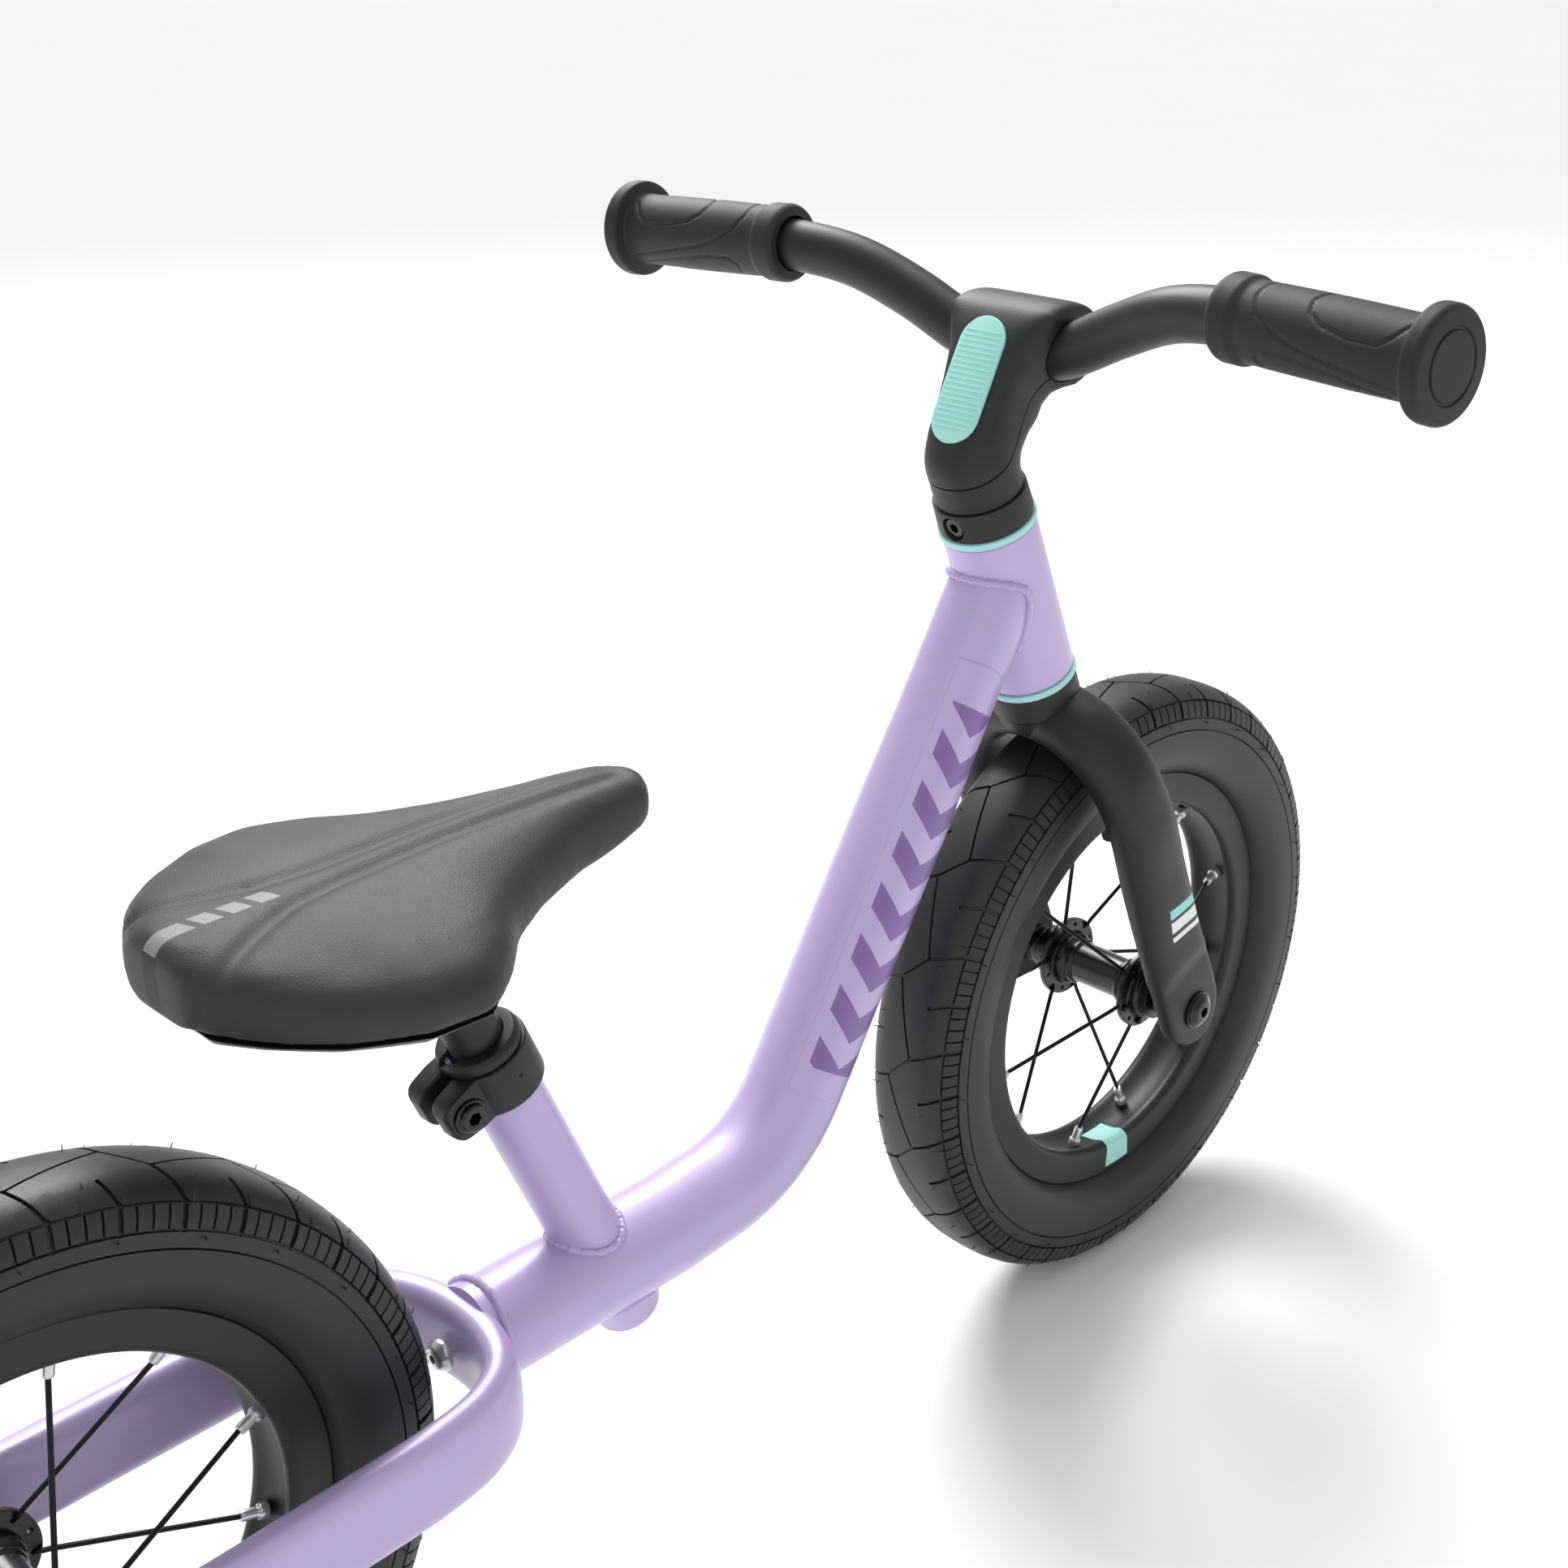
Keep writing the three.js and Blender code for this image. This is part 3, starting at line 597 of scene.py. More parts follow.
# %% Floor
def studio_floor():
    bm = bmesh.new()
    bmesh.ops.create_grid(bm, x_segments=8, y_segments=8, size=30.0)
    floor = as_object(bm, "floor")
    look = Finish("floor_paper", Specular_IOR_Level=0.2)
    tint = look.blended(look.noise(3.0), colour("f8f8f8"), colour("fafafa"))
    look.feed("Base Color", tint).feed("Roughness", 0.75 + look.noise(40.0) * 0.1)
    floor.data.materials.append(look.material)


studio_floor()


# %% Lights and world
def soft_light(name, place, aim, size, power):
    lamp = bpy.data.lights.new(name, "AREA")
    lamp.shape, lamp.size, lamp.energy = "DISK", size, power
    thing = bpy.data.objects.new(name, lamp)
    bpy.context.scene.collection.objects.link(thing)
    thing.location = place
    thing.rotation_euler = (Vector(aim) - Vector(place)).to_track_quat("-Z", "Y").to_euler()


soft_light("key_light", (0.9, 1.5, 1.9), (0, 0, 0.25), 1.2, 44)
soft_light("fill_light", (-1.6, -1.8, 1.6), (0, 0, 0.3), 2.2, 5)
sun = bpy.data.lights.new("overhead_light", "SUN")
sun.energy, sun.angle = 1.35, math.radians(50)
overhead = bpy.data.objects.new("overhead_light", sun)
overhead.rotation_euler = Vector((-0.25, -0.42, -1)).to_track_quat("-Z", "Y").to_euler()
bpy.context.scene.collection.objects.link(overhead)
world = bpy.data.worlds.new("studio")
bpy.context.scene.world = world
world.use_nodes = True
sky = world.node_tree.nodes["Background"]
sky.inputs[0].default_value = (1, 1, 1, 1)
sky.inputs[1].default_value = 0.58

# %% Camera
CAMERA_PLACE = Vector((-0.4689, -0.5584, 0.6695))
CAMERA_AIM = Vector((0.676, 0.627, -0.388))
camera = bpy.data.objects.new("camera", bpy.data.cameras.new("camera"))
camera.data.lens, camera.data.sensor_width = 48.51, 36
camera.data.shift_x, camera.data.shift_y = -0.0745, -0.0285
camera.location = CAMERA_PLACE
camera.rotation_euler = CAMERA_AIM.to_track_quat("-Z", "Y").to_euler()
bpy.context.scene.collection.objects.link(camera)
bpy.context.scene.camera = camera
bpy.context.scene.view_settings.view_transform = "Standard"

# %% [markdown]
# ## Tyres
# The tyre has a crowned tread with a zigzag of fine cuts, slanting cuts that run down to a row
# of small blocks on each shoulder, and plain walls with thin rings. One repeat of the tread is
# drawn flat on a grid: planes cut the grid along both edges of each groove and the faces
# between them are marked. Twenty repeats are laid end to end and rolled round the tyre, and
# the marked faces are inset and pushed in. So every groove has real walls and few faces.

# %% The tyre's section
TYRE_R = 152
SKIN_OUT, SKIN_UP = 24.3, 125.7


def skin_point(turn):
    """The round outer half of the section, as (out from the side, up from the axle)."""
    s, c = math.sin(math.radians(turn)), math.cos(math.radians(turn))
    return SKIN_OUT * abs(s) ** (2 / 3), SKIN_UP + 26.3 * abs(c) ** (2 / 3)


outer_half = [skin_point(turn) for turn in range(0, 90, 3)]
wall_half = [(SKIN_OUT, SKIN_UP), (24.0, 121), (22.7, 116), (19.6, 111.2), (16.2, 108.5), (13.4, 107.5)]
bead_half = [(12.2, 103), (11.6, 101), (9.4, 100.8)]
inner_half = [(11.5, 108), (17, 118), (19.6, 130), (16, 140), (8, 146), (0, 147)]
section = outer_half + wall_half + bead_half + inner_half
measured = [0.0]
for before, after in zip(section, section[1:]):
    measured.append(measured[-1] + math.dist(before, after))
HALF_LENGTH = measured[-1]
SKIN_LENGTH = measured[len(outer_half) + len(wall_half) - 1]


def on_section(s):
    """The point at a distance s from the crown, with its side."""
    reach = min(abs(s), HALF_LENGTH)
    i = next(k for k in range(1, len(measured)) if reach <= measured[k] + 1e-9)
    share = (reach - measured[i - 1]) / (measured[i] - measured[i - 1])
    y, r = (between(a, b, share) for a, b in zip(section[i - 1], section[i]))
    return math.copysign(y, s) if s else 0.0, r


print("section, crown to bead:", round(SKIN_LENGTH, 1), "mm")

# %% One repeat of the tread, drawn flat
REPEATS = 20
PITCH = TAU * TYRE_R / REPEATS
GRID_START = -3.0
MIRROR = 24.7
BLOCK_TOP, BLOCK_FOOT = 23.0, 30.5
COLUMNS = 14
RINGS = ((21.7, 22.7), (30.4, 31.4), (36.5, 37.2))
CUT_REACH = 3.5


def groove_lines():
    """Each groove as its two ends and its width, for the right half, then turned for the left."""
    half = []
    a, edge = (6.5, 6.0), PITCH / 2
    for line in ([(0, BLOCK_FOOT), (0, BLOCK_TOP - 1), (3.2, 14), a],
                 [(edge, BLOCK_FOOT), (edge, BLOCK_TOP - 1), (edge + 3.6, 12.0)]):
        for p, q in zip(line, line[1:]):
            half.append((p, q, 2.2 if q[1] > 20 else 1.6))
    for k in (1, 2, 3, 5, 6, 7):
        half.append(((PITCH * k / 8, BLOCK_TOP), (PITCH * k / 8, BLOCK_FOOT), 0.9))
    lines = half + [((MIRROR - p[0], -p[1]), (MIRROR - q[0], -q[1]), w) for p, q, w in half]
    b = (MIRROR - a[0], -a[1])
    lines.append((a, b, 1.2))
    lines.append((b, (a[0] + PITCH, a[1]), 1.0))
    shifted = [((p[0] + d, p[1]), (q[0] + d, q[1]), w) for p, q, w in lines for d in (-PITCH, 0, PITCH)]
    return [line for line in shifted if max(line[0][0], line[1][0]) > GRID_START - 3
            and min(line[0][0], line[1][0]) < GRID_START + PITCH + 3]


def near(point, line, reach):
    p, q = Vector(line[0]), Vector(line[1])
    run = q - p
    share = (Vector(point) - p).dot(run) / run.length
    away = abs((Vector(point) - p).dot(Vector((-run.y, run.x)).normalized()))
    return -reach - 0.05 < share < run.length + reach + 0.05, away


def slit(bm, line):
    """Cuts the grid along both edges and both ends of a groove."""
    p, q, width = Vector(line[0]), Vector(line[1]), line[2]
    run = (q - p).normalized()
    across = Vector((-run.y, run.x))
    for at, normal in ((p + across * width / 2, across), (p - across * width / 2, across),
                       (p - run * width / 2, run), (q + run * width / 2, run)):
        faces = []
        for f in bm.faces:
            centre = f.calc_center_median()
            held, away = near((centre.x, centre.y), line, CUT_REACH)
            if held and away < width / 2 + CUT_REACH:
                faces.append(f)
        geom = list({g for f in faces for g in [f, *f.edges, *f.verts]})
        bmesh.ops.bisect_plane(bm, geom=geom, dist=1e-4, plane_co=(at.x, at.y, 0),
                               plane_no=(normal.x, normal.y, 0))


half_rows = [0, 4, 8, 12, 15.5, 19, 21.7, 22.7, 26.5, 30.4, 31.4, 34, 36.5, 37.2, 40, 43, 46, 49, 52]
half_rows += [measured[i] for i in range(len(outer_half) + 1, len(section)) if measured[i] > 53.5]
rows = [-s for s in reversed(half_rows[1:])] + half_rows


def tread_repeat():
    bm = bmesh.new()
    cut = bm.faces.layers.int.new("groove")
    across = [bmesh.ops.create_vert(bm, co=(GRID_START, s, 0))["vert"][0] for s in rows]
    edges = [bm.edges.new(pair) for pair in zip(across, across[1:])]
    for _ in range(COLUMNS):
        grown = bmesh.ops.extrude_edge_only(bm, edges=edges)["geom"]
        bmesh.ops.translate(bm, verts=verts_in(grown), vec=(PITCH / COLUMNS, 0, 0))
        edges = [e for e in edges_in(grown) if abs(e.verts[0].co.x - e.verts[1].co.x) < 1e-6]
    lines = groove_lines()
    for line in lines:
        slit(bm, line)
    for face in bm.faces:
        centre = face.calc_center_median()
        sunk = any(low < abs(centre.y) < high for low, high in RINGS)
        for line in lines:
            held, away = near((centre.x, centre.y), line, line[2] / 2 - 0.05)
            sunk = sunk or (held and away < line[2] / 2)
        face[cut] = int(sunk)
    return bm


def tyre():
    bm = tread_repeat()
    one = everything(bm)
    for i in range(1, REPEATS):
        copy = bmesh.ops.duplicate(bm, geom=one)["geom"]
        bmesh.ops.translate(bm, verts=verts_in(copy), vec=(PITCH * i, 0, 0))
    bmesh.ops.remove_doubles(bm, verts=bm.verts, dist=0.01)
    for v in bm.verts:
        turn = math.pi / 2 - v.co.x / TYRE_R
        y, r = on_section(v.co.y)
        v.co = (r * math.cos(turn), y, r * math.sin(turn))
    bmesh.ops.remove_doubles(bm, verts=bm.verts, dist=0.01)
    bmesh.ops.recalc_face_normals(bm, faces=bm.faces)
    cut = bm.faces.layers.int["groove"]
    faces = [f for f in bm.faces if f[cut]]
    bmesh.ops.inset_region(bm, faces=faces, thickness=0.16, depth=-1.3, use_even_offset=True)
    return bm


# %% Vent hairs left from the mould
def vent_hairs():
    """Thin whiskers of rubber, three rows to a side. On both sides they lean towards +Y."""
    rng = random.Random(12)
    bm = bmesh.new()
    for side in (-1, 1):
        for s, count in ((13.5, 26), (20.0, 39), (33.0, 26)):
            for k in range(count):
                turn = TAU * (k + 0.5 * rng.random()) / count
                y, r = on_section(side * s)
                y1, r1 = on_section(side * (s + 0.5))
                out = Vector((0, r - r1, abs(y1 - y))).normalized()
                tilt = Vector((rng.uniform(-0.4, 0.4), out.y, out.z)).normalized()
                up = tilt.to_track_quat("Z", "Y").to_matrix().to_4x4()
                place = Matrix.Rotation(turn, 4, "Y") @ Matrix.Translation((0, y, r)) @ up
                bmesh.ops.create_cone(
                    bm, cap_ends=True, cap_tris=False, segments=5, radius1=0.36, radius2=0.16,
                    depth=rng.uniform(2.6, 4.6), matrix=place,
                )
    return bm


# %% [markdown]
# ## Rims, hubs and valves
# The rim is a deep ring with a flat band on each side, a rounded lip and a hollow inner face,
# which is what spinning a profile is for. The hub is spun too, and its two flanges are drilled.
# The mint sticker that wraps over the rim is a short sweep of the same profile, a hair proud.

# %% Rim and its sticker
rim_half = [(94.2, 0, 0), (93.4, 5.0, 6), (90.9, 10.9, 2.2), (93.2, 14.6, 2.4), (107.6, 14.6, 0.9),
            (107.6, 12.7, 0.5), (99.9, 12.7, 0.8), (96.6, 7.5, 1.5), (96.6, 0, 0)]


def both_sides(half):
    """The half profile, then its mirror image in reverse."""
    return half + [(p[0], -p[1], *p[2:]) for p in reversed(half) if p[1] > 0]


def rim():
    return turned(rounded(both_sides(rim_half), 1.0, 5, closed=True), 160, closed=True)


def rim_sticker():
    face = rounded([(94.1, 3), (93.4, -5.0, 6), (90.9, -10.9, 2.2), (93.2, -14.6, 2.4),
                    (104.5, -14.6)], 2, 6)
    path = [Vector(p) for p in face]
    outside = []
    for i, p in enumerate(path):
        run = (path[min(i + 1, len(path) - 1)] - path[max(i - 1, 0)]).normalized()
        outside.append(p + Vector((-run.y, run.x)) * -0.22)
    inside = [p + (p - q) * 0.3 for p, q in zip(path, outside)]
    band = [tuple(p) for p in outside] + [tuple(p) for p in reversed(inside)]
    return turned(band, 360, closed=True, sweep=10, first=263.5)


# %% Hub
hub_half = [(10.2, 0, 0), (10.2, 13), (11.6, 14.2), (11.6, 16.0), (10.8, 16.8), (13.2, 18.4),
            (13.2, 22.6, 1.2),
            (20.0, 22.6, 0.4), (20.0, 25.4, 0.4), (14.4, 25.4, 1.2), (14.0, 29.0), (12.6, 30.0),
            (12.6, 35.0),
            (5.4, 35.0, 0), (5.4, 0, 0)]


def hub():
    body = turned(rounded(both_sides(hub_half), 0.5, 3, closed=True), 72, closed=True)
    holes = []
    for k in range(12):
        for y in (-24, 24):
            turn = Matrix.Rotation(TAU * (k + 0.5) / 12, 4, "Y")
            holes.append(rod(turn @ Matrix.Translation((0, y, 17.0)) @ ACROSS, 1.2, 6, 12))
    return carved(body, "DIFFERENCE", merged(*holes))


# %% [markdown]
# ## Spokes
# Six straight spokes leave each flange, hooked into it by a small head, and each ends in a
# bright nipple at the rim. One spoke is swept along its path and the other five are copies
# turned about the axle.

# %% Spokes and nipples
def six(bm):
    bmesh.ops.spin(
        bm, geom=everything(bm), axis=(0, 1, 0), cent=(0, 0, 0),
        steps=5, angle=TAU * 5 / 6, use_duplicate=True,
    )
    return bm


def spokes(side, first):
    path = Path([(0, side * 26.6, 17), (0, side * 24, 17.1), (0, side * 21.9, 18.6),
                 (0, side * 21.2, 22), (0, side * 3.4, 86)])
    spots = [0, 0.12, 0.25, 0.34, 0.42, 0.5, 0.58, 0.66, 0.75, 1]
    wire = tube([Station(path.at(t), path.along(t), (1, 0, 0), 1.0) for t in spots], 10)
    head = turned(rounded([(0, 25.7), (2.0, 25.7), (2.0, 26.8), (0, 27.3)], 0.4, 2), 12)
    moved(head, Matrix.Translation((0, 0, 17)) @ Matrix.Scale(side, 4, SIDE))
    turn = Matrix.Rotation(math.radians(90 - first), 4, "Y")
    return moved(six(merged(wire, head)), turn)


def nipples(side, first):
    foot, top = Vector((0, side * 4.4, 82.6)), Vector((0, side * 3.0, 92.6))
    length = (top - foot).length
    body = turned(rounded([(0, 0), (1.9, 0), (2.1, 1.5), (2.1, 6.2), (3.0, 7.0), (3.2, length),
                           (0, length)], 0.3, 2), 14)
    turn = Vector((0, 1, 0)).rotation_difference(top - foot).to_matrix().to_4x4()
    moved(body, Matrix.Rotation(math.radians(90 - first), 4, "Y") @ Matrix.Translation(foot) @ turn)
    return six(body)


# %% Valve
def valve_black():
    stem = turned(rounded([(0, 83), (3.1, 83), (3.1, 100), (0, 100)], 0.3), 24, about="Z")
    cap = turned(rounded([(0, 72.6), (3.3, 72.8), (4.2, 75), (4.2, 77), (4.0, 77.4), (4.2, 77.8),
                          (4.2, 83.8), (0, 83.8)], 0.5), 32, about="Z")
    return merged(stem, cap)


def valve_brass():
    return turned(rounded([(3.0, 84.1), (3.9, 84.1), (3.9, 86.2), (3.0, 86.2)], 0.3, 2,
                          closed=True), 32, closed=True, about="Z")


# %% Both wheels
for end, place in WHEELS.items():
    wheel = f"{end}_wheel"
    nodes = sorted(n for n in frame["nodes"] if n.startswith(f"{end}_spoke"))
    finished(tyre(), f"{end}_tyre_tread", place, wheel, tyre_rubber, [f"{end}_tyre"], 28)
    finished(vent_hairs(), f"{end}_vent_hairs", place, wheel, tyre_rubber)
    finished(rim(), f"{end}_rim_ring", place, wheel, black_paint, [f"{end}_rim"])
    finished(hub(), f"{end}_hub_shell", place, wheel, black_steel, [f"{end}_hub"])
    for side, label, first in ((1, "left", 45), (-1, "right", 15)):
        stands = [n for n in nodes if label in n]
        finished(spokes(side, first), f"{end}_spokes_{label}", place, wheel, spoke_steel,
                 stands)
        finished(nipples(side, first), f"{end}_nipples_{label}", place, wheel, bright_steel)
    finished(valve_black(), f"{end}_valve", place, wheel, grip_rubber,
             [f"{end}_inner_tube"])
    finished(valve_brass(), f"{end}_valve_ring", place, wheel, brass)
finished(rim_sticker(), "front_rim_sticker", WHEELS["front"], "front_wheel", mint)

# %% [markdown]
# ## The frame tubes
# The real frame is four steel tubes welded together: one fat tube that runs level and then
# rises to the head, the head tube, the seat tube, and a flattened tube bent round the rear
# tyre. Each is swept along its own line. The flattened one changes its section on the way,
# down to a flat round lug at each end, so its stations carry two half sizes and a squareness.

# %% Main tube
RISE = math.radians(56.9)
MAIN_R, END_R, MAIN_Z = 20.8, 19.6, 153.2
UP_TUBE = Vector((math.cos(RISE), 0, math.sin(RISE)))
UP_IN_HEAD = (HEAD.to_3x3().inverted() @ (LEVEL.to_3x3() @ UP_TUBE)).normalized()
LOOP_CENTRE_X, LOOP_R = 108.8, 75
HEAD_R = 20.8
corner = Vector((329.6, 0, MAIN_Z + 1.6))
SET_BACK = 67.5 * math.tan(RISE / 2)
bend_start, bend_end = corner - Vector((SET_BACK, 0, 0)), corner + UP_TUBE * SET_BACK


def loop_front(y):
    """How far forward the rear loop's outer face reaches at a distance y from the middle."""
    return LOOP_CENTRE_X + math.sqrt(LOOP_R * LOOP_R - y * y)


def met(p, run, radius):
    """Where the line from p along run first meets a round bar about the Z axis."""
    a = run.x ** 2 + run.y ** 2
    b = 2 * (p.x * run.x + p.y * run.y)
    root = max(b * b - 4 * a * (p.x ** 2 + p.y ** 2 - radius ** 2), 0.0)
    return p + run * ((-b - math.sqrt(root)) / (2 * a))


def main_tube_points():
    points = [Vector((x, 0, MAIN_Z)) for x in (160, 172, 190, 220, 250, 275)]
    for i in range(13):
        s = i / 12
        points.append(bend_start * (1 - s) ** 2 + corner * 2 * s * (1 - s) + bend_end * s * s)
    return points + [bend_end + UP_TUBE * d for d in (30, 60, 90, 120, 150, 170, 185, 198)]


def main_tube():
    points = main_tube_points()
    stations = []
    for i, p in enumerate(points):
        run = (points[min(i + 1, len(points) - 1)] - points[max(i - 1, 0)]).normalized()
        share = eased_step(((p - bend_end).dot(UP_TUBE) - 110) / 75)
        stations.append(Station(p, run, SIDE, between(MAIN_R, END_R, share)))
    bm = tube(stations, 96)
    # The first two rings follow the round outside of the loop.
    for v in bm.verts:
        if v.co.x < 173:
            v.co.x = loop_front(v.co.y) - (1.2 if v.co.x > 165 else 6)
    ends = sorted(bm.verts, key=lambda v: (v.co - bend_end).dot(UP_TUBE))[-96:]
    for v in ends:
        in_head = HEAD.inverted() @ (LEVEL @ v.co)
        v.co = LEVEL.inverted() @ (HEAD @ met(in_head, UP_IN_HEAD, HEAD_R - 0.4))
    return bm


finished(main_tube(), "main_tube_painted", LEVEL, "frame", lilac_sticker, ["main_tube"])

# %% Head tube and its two rings
head_profile = [(15.2, -2.3), (20.5, -2.3), (20.8, -2.8), (20.8, -79.9), (20.5, -80.4), (15.2, -80.4)]
head_tube = turned(rounded(head_profile, 0.3, 3, closed=True), 128, closed=True, about="Z")
finished(head_tube, "head_tube_painted", HEAD, "frame", lilac_paint, ["head_tube"])


def mint_ring(low, high, radius):
    ring = [(15, low), (radius, low, 0.7), (radius, high, 0.7), (15, high)]
    return turned(rounded(ring, 0.2, 4, closed=True), 128, closed=True, about="Z")


finished(mint_ring(-1.7, 1.6, 21.6), "mint_ring_top", HEAD, "frame", mint,
         ["head_ring_top"])
finished(mint_ring(-84.2, -80.9, 21.5), "mint_ring_bottom", HEAD, "frame", mint,
         ["head_ring_bottom"])

# %% Seat tube with the slot behind its top
SEAT_TUBE_R = 13.6


def seat_tube():
    bm = turned([(SEAT_TUBE_R, -79.5), (SEAT_TUBE_R, 81.9)], 96, about="Z")
    for height in (49, 52, 54):
        bmesh.ops.bisect_plane(bm, geom=everything(bm), dist=1e-4, plane_co=(0, 0, height),
                               plane_no=(0, 0, 1))
    for y in (-1.4, 1.4):
        whole = [g for f in bm.faces if f.calc_center_median().x < -10 for g in [f, *f.edges, *f.verts]]
        bmesh.ops.bisect_plane(bm, geom=list(set(whole)), dist=1e-4, plane_co=(0, y, 0),
                               plane_no=(0, 1, 0))
    gone = [f for f in bm.faces if (c := f.calc_center_median()).x < 0 and abs(c.y) < 1.4 and c.z > 52]
    bmesh.ops.delete(bm, geom=gone, context="FACES")
    bmesh.ops.solidify(bm, geom=list(bm.faces), thickness=1.8)
    low = [e for e in bm.edges if all(abs(v.co.z + 79.5) < 0.2 for v in e.verts)]
    return bevelled(bm, 0.5, 2, edges=low)


finished(seat_tube(), "seat_tube_painted", SEAT, "frame", lilac_paint, ["seat_tube"])
foot_cap = turned(rounded([(0, -78.7), (12.2, -78.7), (12.2, -76.5), (0, -76.5)], 0.4, 2), 48, about="Z")
finished(foot_cap, "seat_tube_plug", SEAT, "frame", lilac_paint)

# %% The flattened loop round the rear tyre
stay_points = [(-6, 51.4), (30, 51.2), (92, 50.4), (128, 49.6), (150, 45.6), (165, 36), (173, 20),
               (175.6, 0)]
stay_path = Path([(x, y, 153) for x, y in stay_points]
                 + [(x, -y, 153) for x, y in reversed(stay_points[:-1])])
LUG_R, LUG_HALF = 19.0, 4.95
AXLE_HOLE_R = 5.3


def stay_station(t):
    at, along = stay_path.at(t), stay_path.along(t)
    flat = eased_step((at.x - 22) / 26)
    lug = math.sqrt(max(LUG_R ** 2 - (at.x + 1) ** 2, 1.0)) if at.x < 7 else 18.0
    half = between(lug, 18.0, eased_step((at.x + 2) / 26))
    return Station(at, along, (0, 0, 1), half, between(LUG_HALF, 7.5, flat), between(5.0, 2.9, flat))


def stay_loop():
    stations = [stay_station(i / 110) for i in range(111)]
    for end, way in ((0, 1), (-1, -1)):
        base = stations[end]
        extra = []
        for back in (3, 6, 8.5, 10.5, 12, 12.9):
            at = base.at + Vector((-back, 0, -0.2))
            half = math.sqrt(LUG_R ** 2 - at.x ** 2) if abs(at.x) < LUG_R else 0.6
            extra.append(Station(at, base.along, (0, 0, 1), max(half, 0.8), LUG_HALF, 5.0))
        stations = list(reversed(extra)) + stations if end == 0 else stations + extra
    body = tube(stations, 48)
    return carved(body, "DIFFERENCE",
                  rod(Matrix.Translation((0, 0, TYRE_R)) @ ACROSS, AXLE_HOLE_R, 140, 40))


finished(stay_loop(), "stay_loop_painted", LEVEL, "frame", lilac_paint, ["stay_loop"])

# %% [markdown]
# ## Weld beads
# Where the tubes meet, the real frame has smooth painted welds. A boolean union would leave a
# knife-sharp seam, so a thin soft bead is swept along each line where two tubes meet. The line
# is worked out from the two round surfaces, and the bead's size ripples a little as a weld does.

# %% Weld beads
def bead(points, outward, size, ripple=0.12, sides=12):
    """A closed thin tube through the points, with a slow ripple in its size."""
    stations, count = [], len(points)
    for i, p in enumerate(points):
        run = (points[(i + 1) % count] - points[i - 1]).normalized()
        turn = i * TAU / count
        swell = 1 + ripple * math.sin(turn * 38) + 0.5 * ripple * math.sin(turn * 17 + 1)
        stations.append(Station(p, run, outward(p), size * swell, size * swell * 0.8))
    return tube(stations, sides, closed=True)


def head_joint():
    """Where the main tube's surface meets the head tube's."""
    origin = HEAD.inverted() @ (LEVEL @ bend_end)
    back = SIDE.cross(UP_IN_HEAD)
    points = []
    for i in range(144):
        turn = TAU * i / 144
        p = origin + (SIDE * math.cos(turn) + back * math.sin(turn)) * (END_R + 0.1)
        points.append(met(p, UP_IN_HEAD, HEAD_R + 0.1))
    return points


def tube_joint(way):
    """Where the seat tube passes through the top or the bottom of the level tube."""
    points = []
    run = (LEVEL.inverted().to_3x3() @ SEAT.to_3x3() @ Vector((0, 0, 1))).normalized()
    origin = LEVEL.inverted() @ SEAT @ Vector((0, 0, 0))
    ahead = SIDE.cross(run)
    for i in range(96):
        turn = TAU * i / 96
        p = origin + (ahead * math.cos(turn) + SIDE * math.sin(turn)) * SEAT_TUBE_R
        z = MAIN_Z + way * math.sqrt(MAIN_R ** 2 - p.y ** 2)
        points.append(p + run * ((z - p.z) / run.z))
    return points


def loop_joint():
    points = []
    for i in range(96):
        turn = TAU * i / 96
        y, z = (MAIN_R + 0.1) * math.cos(turn), (MAIN_R + 0.1) * math.sin(turn)
        points.append(Vector((loop_front(y) + 0.3, y, MAIN_Z + z)))
    return points


def from_line(point):
    """Away from the level tube's middle line."""
    return Vector((0, point.y, point.z - MAIN_Z)).normalized()


finished(bead(head_joint(), lambda p: Vector((p.x, p.y, 0)).normalized(), 2.3), "weld_head", HEAD,
         "frame", lilac_paint)
finished(bead(tube_joint(1), from_line, 2.0), "weld_seat_top", LEVEL, "frame", lilac_paint)
finished(bead(tube_joint(-1), from_line, 1.8), "weld_seat_foot", LEVEL, "frame", lilac_paint)
finished(bead(loop_joint(), from_line, 1.9), "weld_loop", LEVEL, "frame", lilac_paint)

# %% Bolts of the frame: the loop's button and the axle ends
inward = Matrix.Translation((0, 0, 153)) @ Matrix.Rotation(math.pi / 2, 4, "Z")
bridge_profile = rounded([(2.4, -160.4), (4.6, -160.9), (6.6, -163.4), (6.6, -165.4), (3.0, -165.4),
                          (3.0, -174.5), (0, -174.5)], 0.5, 4)
bridge = bolt_head(bridge_profile, 2.0, 2.6)
finished(bridge, "bridge_button", LEVEL @ inward, "frame", bright_steel, ["bridge_bolt"])

washer = [(5.6, 56.5), (9.4, 56.5), (9.4, 57.8), (5.6, 57.8)]
dome = [(3.2, 61.0), (5.4, 60.7), (8.4, 58.6), (8.4, 57.6), (5.4, 57.6), (5.4, 40), (0, 40)]
spacer = [(5.4, 35.6), (7.6, 35.6), (9.6, 37.2), (9.6, 41.2), (9.1, 41.7), (9.6, 42.2), (9.6, 46.2),
          (5.4, 46.2)]


def axle_end(way):
    head = bolt_head(rounded(dome, 0.6, 4), 2.8, 2.6)
    ring = turned(rounded(washer, 0.3, 3, closed=True), 64, closed=True)
    sleeve = turned(rounded(spacer, 0.3, 3, closed=True), 64, closed=True)
    return moved(merged(head, ring, sleeve), Matrix.Scale(way, 4, SIDE))


